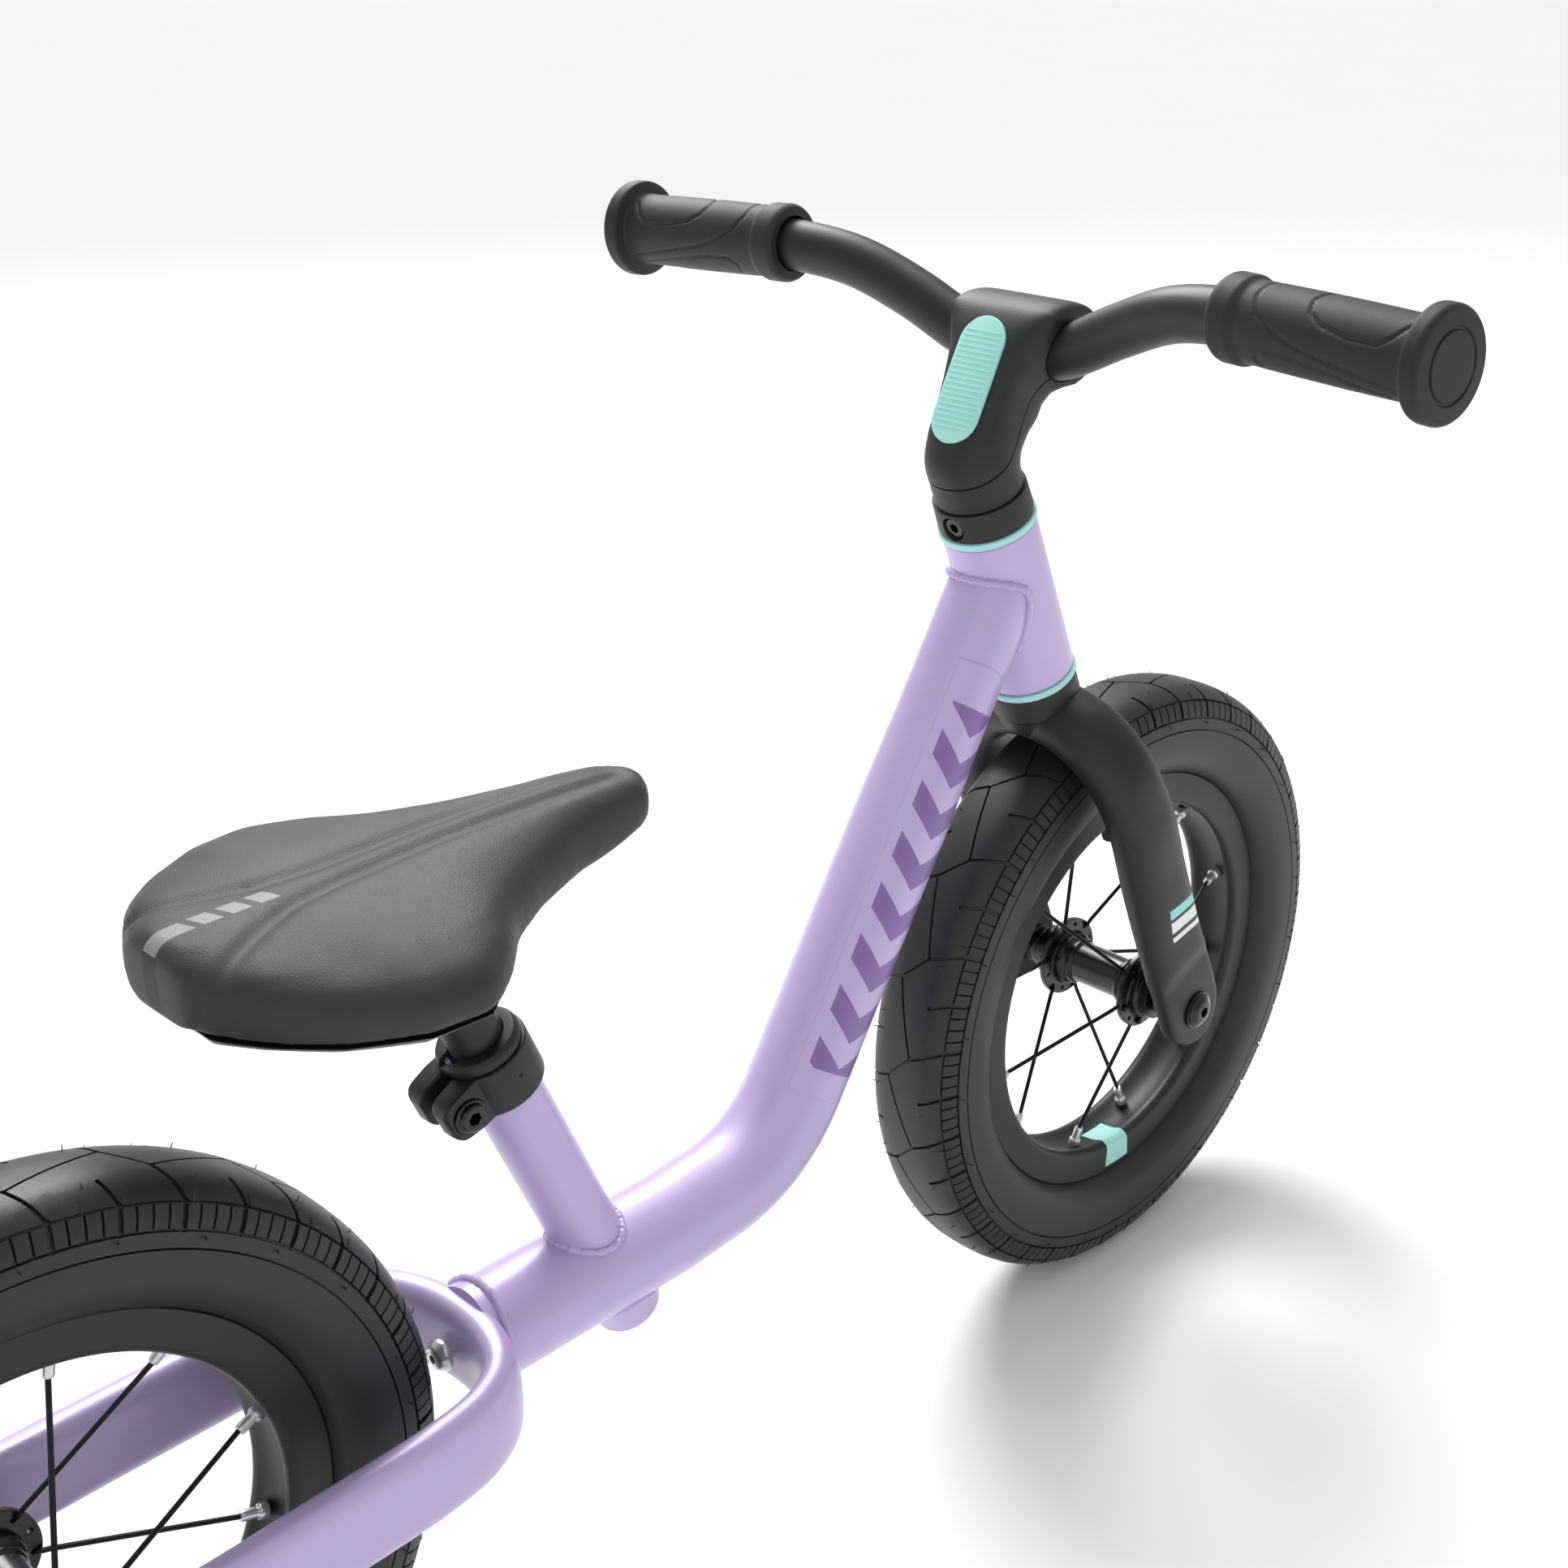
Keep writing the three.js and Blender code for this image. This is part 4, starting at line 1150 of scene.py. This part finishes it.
for end, body in (("rear", "frame"), ("front", "steering")):
    place = WHEELS[end]
    core = turned([(0, -41), (5.0, -41), (5.0, 41), (0, 41)], 32)
    finished(merged(axle_end(-1), core), f"{end}_axle_right", place, body, black_steel,
             [f"{end}_axle"])
    finished(axle_end(1), f"{end}_axle_left", place, body, black_steel,
             [f"{end}_axle_bolt"])

# %% [markdown]
# ## Fork
# The fork is two curved tapering tubes joined to a shoulder under the head tube. Its arms run
# into each other across the top, so one ring is swept from the left tip over the crown to the
# right tip. It starts round and ends flat: each tip is pressed flat round the axle, with a
# shallow ledge where the flat begins.

# %% Fork blades
axle_in_head = HEAD.inverted() @ front_centre


def fork_half():
    x, z = axle_in_head.x, axle_in_head.z
    points = [
        (0, 0, -103.6), (0, 16, -106.1), (0, 30, -114.6), (0, 40, -129.6), (0, 45.6, -154.6),
        (x * 0.4, 46.8, -192.6), (x * 0.8, 49, -232.6), (x, 51.3, z + 14), (x, 51.45, z + 1),
    ]
    sizes = [
        (16.3, 12.5, 2.2), (16.6, 12.8, 2.2), (17, 13.6, 2.2), (17, 13.8, 2.2), (17.2, 12.8, 2.3),
        (17.8, 11.4, 2.5),
        (18.6, 8.6, 3.0), (18.9, 5.0, 5), (18.9, 4.95, 5),
    ]
    return points, sizes


def fork_stations():
    points, sizes = fork_half()
    path = Path(points)
    half = []
    for i in range(89):
        t = i / 88
        a, b, power = eased(t, sizes)
        at, along = path.at(t), path.along(t)
        drop = eased_step((t - 0.775) / 0.055)
        b = between(max(b, 8.2), 4.95, drop) if t > 0.7 else b
        power = between(power, 6, drop)
        if at.z < axle_in_head.z + 18:
            a = 18.95
        half.append((at, along, a, b, power))
    x, z, y = axle_in_head.x, axle_in_head.z, 51.45
    for down in (2, 5, 8, 11, 13.5, 15.5, 17.2, 18.3, 18.85):
        half.append((Vector((x, y, z - down)), Vector((0, 0, -1)),
                     math.sqrt(max(19 ** 2 - down ** 2, 0.2)), 4.95, 6))
    right = [Station((p.x, -p.y, p.z), (d.x, -d.y, d.z), (1, 0, 0), a, b, w) for p, d, a, b, w in half]
    left = [Station(p, -d, (1, 0, 0), a, b, w) for p, d, a, b, w in reversed(half[1:])]
    return left + right


FORK_STATIONS = fork_stations()


def fork_blades():
    place = Matrix.Translation((axle_in_head.x, 0, axle_in_head.z)) @ ACROSS
    return carved(tube(FORK_STATIONS, 48), "DIFFERENCE", rod(place, AXLE_HOLE_R, 140, 40))


# %% The fork's finish, with a plain badge on each leg
BADGE_TURN = 0.19
FORK_SPAN = sum((b.at - a.at).length for a, b in zip(FORK_STATIONS, FORK_STATIONS[1:]))


def badge(look):
    """A mint bar above two slanted white bars, near the foot of each leg."""
    along, turn = look.map_axes()
    down = abs(along - FORK_SPAN / 2)
    off = (turn - BADGE_TURN) * 84.0
    slant = down + off * 0.35
    held = abs(off) < 8.0
    mint_bar = held * (slant > 129.0) * (slant < 134.5)
    white = held * ((slant > 136.5) * (slant < 143.0) + (slant > 145.5) * (slant < 148.5))
    return [(mint_bar, MINT_PRINT), (white, colour("eceded"))]


badged_paint = dark("black_satin_paint_with_badge", "161718", "1d1e1f", 0.40, 0.10, 1500.0, 0.05,
                    marks=badge)
legs = ["fork_leg_left", "fork_leg_right"]
finished(fork_blades(), "fork_blades", HEAD, "steering", badged_paint, legs)

# %% Fork shoulder
shoulder_profile = [(0, -84.6), (20.1, -84.6, 0.5), (20.5, -88), (20.5, -97.0, 0.8),
                    (19.6, -98.2, 0.5), (18.4, -106, 3), (12, -112, 3), (0, -114)]
shoulder = turned(rounded(shoulder_profile, 0.5, 5), 128, about="Z")
finished(shoulder, "fork_shoulder", HEAD, "steering", black_paint, ["fork_crown"])

# %% [markdown]
# ## Steering collar and stem
# Above the top ring sits a plastic collar with a bolt that faces backwards, and on it the stem,
# which flows from a round foot into the barrel that holds the bar. The stem is two mouldings
# with a seam between them. It is swept as one form whose section grows from round to wide and
# square, and then cut along the seam, so both mouldings share one smooth outside.

# %% Collar and its bolt
COLLAR_BOLT_Z = 8.3


def collar():
    profile = [(14.5, 1.9), (20.6, 1.9, 0.4), (20.9, 4), (20.45, 15.2, 0.4), (14.5, 15.2)]
    body = turned(rounded(profile, 0.2, 3, closed=True), 128, closed=True, about="Z")
    backwards = Matrix.Rotation(math.pi / 2, 4, "Y") @ Matrix.Rotation(math.pi, 4, "X")
    recess = rod(Matrix.Translation((-20, 0, COLLAR_BOLT_Z)) @ backwards, 4.9, 7.4, far=6.2)
    return carved(body, "DIFFERENCE", recess)


finished(collar(), "steering_collar_shell", HEAD, "steering", black_plastic,
         ["steering_collar"])
bolt_way = Matrix.Translation((0, 0, COLLAR_BOLT_Z)) @ Matrix.Rotation(math.pi / 2, 4, "Z")
collar_profile = rounded([(2.6, 19.4), (4.2, 19.4), (4.6, 19.0), (4.6, 16.0), (0, 16.0)], 0.3, 3)
finished(bolt_head(collar_profile, 2.4, 2.6), "collar_screw", HEAD @ bolt_way, "steering",
         black_steel, ["collar_bolt"])

# %% Bar path
bar_half = [
    (490.7, 0, 476.5), (490.2, 14, 477.2), (488, 28, 481.5), (484.6, 56, 494.5), (479, 84, 505.2),
    (473, 112, 509.4), (470.3, 136, 509.6), (466.5, 174, 508.6), (463.2, 209.5, 507.7),
]
bar_path = Path([p for p in reversed(bar_half[1:])] + [(x, -y, z) for x, y, z in bar_half])
BAR_R = 11.1


def bar(radius, start=0.0, end=1.0):
    return plain_tube(bar_path, radius, 120, (0, 0, 1), 64, start, end)


finished(bar(BAR_R), "handlebar_painted", LEVEL, "steering", black_paint, ["handlebar"])

# %% The stem's form
SEAM = [(-14, 28), (2, 30.5), (9, 34.5), (17, 42.5), (26, 50), (36, 53.5)]
STEM = [
    (-19.3, 15.8, 19.3, 15.8, 19.3, 2), (-19.3, 25, 19.6, 22, 19.3, 2), (-18.8, 35, 22.5, 27, 19.2, 2.1),
    (-12.5, 44.2, 28, 31.5, 18.6, 2.5), (-2, 52.6, 31.5, 33.7, 18.2, 3.2),
    (9.5, 61.8, 34.5, 38, 18.6, 3.8),
    (22, 71.8, 38, 41, 21, 4.2), (32, 78.5, 41, 43, 26, 5.5), (39, 80.9, 44, 43.6, 28, 9),
    (47, 80.2, 48, 43.4, 28, 9),
    (55, 77, 55, 44.5, 28, 9), (61, 72.5, 60.5, 47.5, 28, 9), (65, 65.5, 65, 51, 27.6, 6),
    (66.6, 59, 66.6, 57, 26, 5),
]


def stem_form():
    """Each section stands between a point of the back line and one of the front line."""
    back = Path([(x, 0, z) for x, z, _, _, _, _ in STEM])
    front = Path([(x, 0, z) for _, _, x, z, _, _ in STEM])
    stations = []
    for i in range(105):
        t = i / 104
        place = t * (len(STEM) - 1)
        k = min(int(place), len(STEM) - 2)
        half, power = [between(STEM[k][n], STEM[k + 1][n], place - k) for n in (4, 5)]
        near, far = back.at(t), front.at(t)
        across = (far - near).normalized()
        stations.append(Station((near + far) / 2, across.cross(SIDE) * -1, SIDE, half,
                                (far - near).length / 2, power))
    return tube(stations, 72)


def seam_block(offset, above):
    outline = [(-60, SEAM[0][1] + offset)] + [(x, z + offset) for x, z in SEAM] + [(100, 53.5 + offset)]
    outline += [(100, 130), (-60, 130)] if above else [(100, -30), (-60, -30)]
    block = plate(rounded([(x, -z) for x, z in outline], 4, 4, closed=True), -60, 60)
    return moved(block, Matrix.Rotation(-math.pi / 2, 4, "X"))


def bar_hole():
    """The bar's own line, a little thicker than the bar."""
    return moved(bar(BAR_R + 0.4, 0.3, 0.7), HEAD.inverted() @ LEVEL)


def barrel_step(way):
    """A wider step at one end of the barrel."""
    return rod(Matrix.Translation((44.9, way * 29.2, 57.8)) @ ACROSS, 15.2, 6, 64)


PAD_PLACE = Matrix.Translation((10.3, 0, 62.7)) @ Matrix.Rotation(-math.radians(38.8), 4, "Y")


def stadium(half_width, length):
    straight = length / 2 - half_width
    return arc(straight, 0, half_width, -90, 90, 28) + arc(-straight, 0, half_width, 90, 270, 28)


def pad_recess():
    return moved(plate(stadium(12.0, 55.6), -1.6, 14), PAD_PLACE)


def stem_shell(above):
    cutters = [bar_hole(), barrel_step(1), barrel_step(-1)]
    if above:
        cutters.append(pad_recess())
    half = carved(stem_form(), "INTERSECT", seam_block(0.35 if above else -0.35, above))
    shell = carved(half, "DIFFERENCE", *cutters)
    bmesh.ops.remove_doubles(shell, verts=shell.verts, dist=0.02)
    return shell


finished(stem_shell(True), "stem_cover_shell", HEAD, "steering", black_plastic,
         ["stem_cover"])
finished(stem_shell(False), "stem_body_shell", HEAD, "steering", black_plastic,
         ["stem_body"])

# %% The ribbed mint pad
def ribbed_pad():
    base = plate(stadium(11.7, 55), -1.4, 0.6, 0.5, 3)
    ribs = []
    for k in range(19):
        x = -20.7 + k * 2.3
        reach = 11.7 if abs(x) < 15.8 else math.sqrt(11.7 ** 2 - (abs(x) - 15.8) ** 2)
        rib = bmesh.new()
        size = Matrix.Diagonal((0.75, 2 * reach - 2.2, 0.7, 1))
        bmesh.ops.create_cube(rib, size=1, matrix=Matrix.Translation((x, 0, 0.65)) @ size)
        ribs.append(bevelled(rib, 0.25, 2))
    return moved(merged(base, *ribs), PAD_PLACE)


finished(ribbed_pad(), "stem_pad_ribbed", HEAD, "steering", mint, ["stem_pad"])

# %% [markdown]
# ## Grips
# The grips are soft rubber with a collar, a swelling body and a wide flange that guards the
# hand. The flowing grooves in the body are part of the moulding. The grip is a finely spun
# profile, and every vertex near a groove line is pushed in, which a bump could not show at
# the outline.

# %% Grips
grip_profile = [
    (12.0, 0, 0), (15.6, 0, 0.8), (17.0, 2.2, 1), (17.0, 10.6, 1), (15.4, 13, 1.2), (15.6, 20, 3),
    (15.8, 36, 6), (15.9, 52, 8),
    (15.8, 68, 8), (15.6, 84, 3), (16.0, 88.4, 1), (21.0, 89.6, 0.8), (21.4, 91, 0.6),
    (21.4, 95.8, 1.0), (20.2, 97.4, 0.8),
    (14.0, 97.8, 0), (13.7, 97.2, 0), (12.7, 97.2, 0), (12.4, 97.9, 0), (0, 98.4, 0),
]
# Each groove as millimetres along the grip and millimetres round it, from the front.
GROOVES = [
    [(22, 11), (19.5, 18), (19.5, 29), (23, 36), (32, 41), (43, 45), (68, 50), (86, 54)],
    [(50, 11), (45, 17), (43, 25), (45, 31), (51, 35), (64, 37.5), (76, 37.5), (81, 34), (86, 27)],
    [(24, 58), (22, 54), (26, 50), (37, 49.5), (59, 53), (80, 58)],
    [(30, -6), (38, -14), (60, -18), (86, -12)],
    [(20, -28), (34, -36), (60, -38), (86, -30)],
]


def groove_depth(along, turn):
    """How deep the flowing grooves are at a place on the grip's body."""
    if not 14.5 < along < 87:
        return 0.0
    nearest = 9.0
    for shift in (-100, 0, 100):
        here = Vector((along, ((turn / TAU + 0.5) % 1 - 0.5) * 100 + shift - 7))
        for line in GROOVES:
            for p, q in zip(line, line[1:]):
                p, q = Vector(p), Vector(q)
                share = min(max((here - p).dot(q - p) / (q - p).length_squared, 0), 1)
                nearest = min(nearest, (here - p - (q - p) * share).length)
    fade = eased_step((along - 14.5) / 2) * eased_step((87 - along) / 2)
    return 0.8 * fade * max(1 - nearest / 1.15, 0.0)


def fine_profile(pairs, step):
    """The profile with no stretch of its body longer than a step."""
    out = [pairs[0]]
    for p in pairs[1:]:
        pieces = max(1, math.ceil((p - out[-1]).length / step)) if p.x > 14.5 and out[-1].x > 14.5 else 1
        start = out[-1]
        out += [start + (p - start) * (k + 1) / pieces for k in range(pieces)]
    return out


def grip(way):
    bm = turned(fine_profile(rounded(grip_profile, 1, 4), 0.75), 144)
    for v in bm.verts:
        r = math.hypot(v.co.x, v.co.z)
        if r > 14.5:
            r1 = r - groove_depth(v.co.y, math.atan2(v.co.z, v.co.x * way))
            v.co.x, v.co.z = v.co.x * r1 / r, v.co.z * r1 / r
    start, end = Vector((471.6, way * 115.3, 510.2)), Vector((462.8, way * 213, 507.6))
    turn = SIDE.rotation_difference(end - start).to_matrix().to_4x4()
    if way < 0:
        run = (end - start).normalized()
        turn = Matrix((Vector((0, 0, 1)).cross(run) * -1, run, Vector((0, 0, 1)))).transposed().to_4x4()
    return moved(bm, Matrix.Translation(start) @ turn)


for way, label in ((1, "left"), (-1, "right")):
    finished(grip(way), f"grip_{label}_rubber", LEVEL, "steering", grip_rubber,
             [f"grip_{label}"], 50)

# %% [markdown]
# ## Seat clamp, bolt and bush
# The clamp is cast in one piece: a ring that grips the seat tube and runs out into two ears
# with a gap between them. Seen from above it is one outline, so it is drawn that way and
# extruded. The ears narrow towards their tips, so the plate is split across a few times there
# and each slice is drawn in. A plastic bush fills the step between tube and post.

# %% Seat clamp
EAR_END = -29.0
CLAMP_BOLT = Matrix.Translation((-20.5, 0, 68.5))


def ear_half_height(x):
    """Half the clamp's height at a distance behind the tube."""
    taper = 1.5 * max(-17 - x, 0) / 12
    tip = 3.4 * max((-24.0 - x) / 5.0, 0) ** 2.2
    return 10 - taper - tip


def clamp_outline():
    ring = arc(0, 0, 17.2, -135, 135, 72)
    mouth = math.degrees(math.atan2(3, 13.9))
    bore = list(reversed(arc(0, 0, 13.9, -180 + mouth, 180 - mouth, 72)))
    near = [(-18.5, 12.3), (EAR_END + 2.4, 12.0), (EAR_END + 0.7, 11.3), (EAR_END, 9.6),
            (EAR_END, 4.2), (EAR_END + 1.2, 3.0)]
    far = [(x, -y) for x, y in reversed(near)]
    return ring + near + bore + far


def seat_clamp():
    bm = plate(clamp_outline(), 59, 79, 0.9, 3, 45)
    for x in (-17, -20, -22, -24, -25.5, -26.7, -27.7, -28.4):
        bmesh.ops.bisect_plane(bm, geom=everything(bm), dist=1e-4, plane_co=(x, 0, 0),
                               plane_no=(1, 0, 0))
    for v in bm.verts:
        if v.co.x < -16.9:
            v.co.z = 69 + (v.co.z - 69) * ear_half_height(v.co.x) / 10
    holes = [rod(CLAMP_BOLT @ Matrix.Translation((0, y, 0)) @ ACROSS, radius, depth)
             for radius, y, depth in ((6.9, -12.2, 2.2), (3.3, 0, 40))]
    dimple = bmesh.new()
    bmesh.ops.create_icosphere(dimple, subdivisions=3, radius=0.9,
                               matrix=Matrix.Translation((1.5, -17.3, 70.5)))
    return carved(bm, "DIFFERENCE", *holes, dimple)


finished(seat_clamp(), "seat_clamp_casting", SEAT, "frame", black_paint,
         ["seat_clamp"], 30)

# %% Clamp bolt and bush
bolt_profile = rounded(
    [(3.0, -15.4), (4.6, -15.4), (5.4, -14.8), (5.4, -13.3), (6.5, -13.0), (6.5, -11.3),
     (3.0, -11.3), (3.0, 11.5), (0, 11.5)], 0.25, 3)
finished(bolt_head(bolt_profile, 2.7, 2.4), "seat_clamp_screw", SEAT @ CLAMP_BOLT, "frame",
         black_steel, ["seat_clamp_bolt"])


def bush():
    profile = [(10.75, 50), (11.45, 50), (11.45, 82.3), (13.8, 82.3), (13.8, 79.3),
               (16.0, 79.3, 0.3), (16.0, 82.2, 0.8), (14.6, 84.2, 0.6), (10.75, 84.4, 0.4)]
    body = turned(rounded(profile, 0.15, 4, closed=True), 128, closed=True, about="Z")
    notch = plate([(-3.6, -8), (3.6, -8), (5.4, 6), (-5.4, 6)], -30, -9)
    upright = Matrix.Translation((0, 0, 90)) @ ACROSS @ Matrix.Rotation(math.pi / 2, 4, "Y")
    return carved(body, "DIFFERENCE", moved(notch, upright))


finished(bush(), "post_bush", SEAT, "frame", black_plastic, ["post_sleeve"], 30)

# %% Seat post
post_profile = [(8.4, -40), (10.6, -40, 0.5), (10.6, 60), (10.6, 126), (0, 126)]
post = turned(rounded(post_profile, 0.2, 3), 96, about="Z")
inner = turned([(8.4, -40), (8.4, 118), (0, 118)], 48, about="Z")
finished(merged(post, inner), "seat_post_tube", SEAT, "seat", black_paint, ["seat_post"])

# %% [markdown]
# ## Saddle
# The saddle is a plastic pan with a foam pad under a tightly stretched, grained skin. The pad is
# wide behind, narrow in front and soft over its edges. Both share one loft, which is a ring
# extruded from station to station, and the loft gives them their shape.

# %% The form that pan and pad share
SADDLE = [
    (76, 18, 346.5, 14), (81.9, 30, 345, 17.5), (91.6, 47, 344, 18.5), (107.1, 63, 342.4, 19.5),
    (128.4, 75.5, 341.5, 20.9),
    (149.8, 78, 342, 20.3), (165.3, 66, 343.4, 19.7), (180.8, 49, 344.4, 19.3),
    (204.1, 34, 345.5, 18.2), (229.3, 23.5, 346.7, 17),
    (250.7, 19.5, 347.8, 15.2), (265.2, 16, 348.5, 12.5), (272, 8, 349, 9.6),
]
saddle_path = Path([(x, 0, z) for x, _, z, _ in SADDLE])


def saddle_form(inset, count=72, sides=64):
    stations = []
    for i in range(count + 1):
        t = i / count
        place = t * (len(SADDLE) - 1)
        k = min(int(place), len(SADDLE) - 2)
        share = place - k
        a, b = [between(SADDLE[k][n], SADDLE[k + 1][n], share) for n in (1, 3)]
        stations.append(Station(saddle_path.at(t), (1, 0, 0), SIDE, a - inset, b - inset, 2.5))
    return tube(stations, sides)


def kept_side(bm, point, normal):
    """Cuts a closed form with a plane, keeps the side behind the normal and closes the cut."""
    cut = bmesh.ops.bisect_plane(
        bm, geom=everything(bm), dist=1e-4, plane_co=point, plane_no=normal, clear_outer=True,
    )["geom_cut"]
    bmesh.ops.contextual_create(bm, geom=edges_in(cut))
    return bm


# %% The pan's finish, with three slanted mint bars at the back
def pan_bars(look):
    x, y, z = look.axes()
    up, side, away = z * 1000.0, y * 1000.0, (x - rear_centre.x) * 1000.0
    slant = side + up * 0.5
    bars = (((slant - 2.0) / 6.5).part() < 0.6) * (side > -16.0) * (side < 3.5) * (away < 96.0)
    return [(bars * (up > 324.2) * (up < 331.0), MINT_PRINT)]


pan_finish = dark("pan_plastic", "131415", "1b1c1d", 0.34, 0.1, 1700.0, 0.08, coat=0.15, marks=pan_bars)

# %% Pan
def saddle_pan():
    bm = saddle_form(1.0)
    for point, normal in (((0, 0, 322), (0, 0, -1)), ((0, 0, 333.8), (0, 0, 1)),
                          ((81.0, 0, 334), (-1, 0, -0.7))):
        kept_side(bm, point, normal)
    bevelled(bm, 1.6, 4, 30)
    neck = turned(rounded([(10.7, 108), (15, 108), (16, 110), (16, 142), (10.7, 142)], 0.8, 3,
                          closed=True), 64, closed=True, about="Z")
    neck = moved(neck, LEVEL.inverted() @ SEAT)
    kept_side(neck, (0, 0, 333), (0, 0, 1))
    return merged(bm, neck)


finished(saddle_pan(), "saddle_pan", LEVEL, "seat", pan_finish, ["saddle_base"], 40)

# %% [markdown]
# The skin is a dark grey, fine-grained synthetic leather, nearly matt. A grey reflective bar
# and three shorter ones run forward from the back edge, and a plain black strip runs down the
# back. They are printed on, so they are part of the finish.

# %% Saddle skin
def skin():
    look = Finish("saddle_skin", IOR=1.45, Coat_Roughness=0.15)
    x, y, z = look.axes()
    away, side, up = (x - rear_centre.x) * 1000.0, y * 1000.0, z * 1000.0
    drift, grain = look.noise(18.0, 3.0), look.cells(2300.0)
    fine = look.noise(2600.0, 2.0)
    lean = side * 0.35
    bar = (away > 76.0) * (away + lean < 90.0)
    ticks = (away + lean > 93.0) * (away + lean < 122.0) * (((away + lean - 93.0) / 10.0).part() < 0.68)
    stripe = (bar + ticks) * (abs(side) < 3.6) * (up > 357.0)
    strip = (abs(side) < 4.2) * (up < 357.0) * (up > 334.0) * (away < 84.0)
    shade = look.blended(drift * 0.5 + grain * 0.3 + fine * 0.2, colour("262627"), colour("343435"))
    shade = look.blended(stripe, shade, colour("858687"))
    shade = look.blended(strip, shade, colour("030303"))
    look.feed("Base Color", shade)
    look.feed("Roughness", 0.46 + drift * 0.1 + fine * 0.06 - stripe * 0.08)
    look.bumped(grain * (1.0 - strip) + fine * 0.4, 0.28, 0.0004)
    return look.material


saddle_skin = skin()

# %% [markdown]
# ## Saddle pad
# A padded piece can be filled out by simulating its skin as cloth with air pressure inside. This
# skin is moulded and taut, and a soft simulation puckered it. So the cloth here is stiff, runs
# for a few steps and moves the skin little more than a millimetre. The creases are pressed in
# afterwards, by lowering each vertex that is near one of two lines.

# %% Pad: the creases and the cloth step
VOXEL, CLOTH_FRAMES, CLOTH_CAP = 0.0042, 16, 0.0016
PAD_FOOT, CREASED_ABOVE = 334.0, 350
CREASE = [(262, 2.5), (250, 5.5), (215, 6.2), (175, 6.4), (140, 7.4), (120, 10.5), (106, 16.5),
          (92, 24), (80, 30)]


def crease_distance(x, y):
    """How far a place is, from above, from the nearest of the two creases."""
    best = 1e9
    for (x0, y0), (x1, y1) in zip(CREASE, CREASE[1:]):
        run = Vector((x1 - x0, y1 - y0))
        here = Vector((x - x0, abs(y) - y0))
        share = min(max(here.dot(run) / run.length_squared, 0), 1)
        best = min(best, (here - run * share).length)
    return best


def blown_up(thing, frames, most):
    """Runs a closed mesh as pressurised cloth and applies the result, no further than a cap."""
    before = [v.co.copy() for v in thing.data.vertices]
    group = thing.vertex_groups.new(name="held")
    low = min(v.z for v in before)
    group.add([i for i, p in enumerate(before) if p.z < low + 0.003], 1.0, "REPLACE")
    cloth = thing.modifiers.new("cloth", "CLOTH")
    cloth.settings.use_pressure = True
    cloth.settings.uniform_pressure_force = 4
    cloth.settings.vertex_group_mass = "held"
    cloth.settings.effector_weights.gravity = 0
    cloth.settings.tension_stiffness = cloth.settings.compression_stiffness = 40
    cloth.settings.bending_stiffness = 4
    cloth.point_cache.frame_end = frames
    for step in range(1, frames + 1):
        bpy.context.scene.frame_set(step)
    result = thing.evaluated_get(bpy.context.evaluated_depsgraph_get()).to_mesh()
    after = [v.co.copy() for v in result.vertices]
    thing.modifiers.clear()
    thing.vertex_groups.clear()
    bpy.context.scene.frame_set(1)
    shifts = [b - a for a, b in zip(before, after)]
    for vertex, start, shift in zip(thing.data.vertices, before, shifts):
        vertex.co = start + shift * min(1.0, most / max(shift.length, 1e-9))
    return max(s.length for s in shifts)


def smoothed(bm):
    bmesh.ops.smooth_vert(bm, verts=bm.verts, factor=0.5, use_axis_x=True, use_axis_y=True,
                          use_axis_z=True)


def saddle_pad():
    form = kept_side(saddle_form(0.7), (0, 0, PAD_FOOT + 0.2), (0, 0, -1))
    bmesh.ops.recalc_face_normals(form, faces=form.faces)
    bmesh.ops.transform(form, matrix=LEVEL, verts=form.verts)
    thing = as_object(form, "pad_start")
    grid = thing.modifiers.new("grid", "REMESH")
    grid.mode, grid.voxel_size = "VOXEL", VOXEL
    even = bpy.data.meshes.new_from_object(thing.evaluated_get(bpy.context.evaluated_depsgraph_get()))
    thing.modifiers.clear()
    thing.data = even
    shift = blown_up(thing, CLOTH_FRAMES, CLOTH_CAP)
    print("pad moved", round(shift * 1000, 2), "mm at most, before the cap")
    smooth = thing.modifiers.new("smooth", "SUBSURF")
    smooth.levels = smooth.render_levels = 1
    fine = bpy.data.meshes.new_from_object(thing.evaluated_get(bpy.context.evaluated_depsgraph_get()))
    bpy.data.objects.remove(thing)
    bm = bmesh.new()
    bm.from_mesh(fine)
    bmesh.ops.transform(bm, matrix=LEVEL.inverted(), verts=bm.verts)
    for _ in range(3):
        smoothed(bm)
    for v in bm.verts:
        if v.co.z > CREASED_ABOVE:
            d = crease_distance(v.co.x, v.co.y)
            fade = eased_step((v.co.z - CREASED_ABOVE) / 6)
            v.co.z -= fade * (1.9 * math.exp(-(d / 3.2) ** 2) + 0.8 * math.exp(-(d / 9) ** 2))
    smoothed(bm)
    for v in bm.verts:
        v.co.z = max(v.co.z, PAD_FOOT)
    return bm


pad = finished(saddle_pad(), "saddle_pad_skin", LEVEL, "seat", saddle_skin,
               ["saddle_cover"], 60)
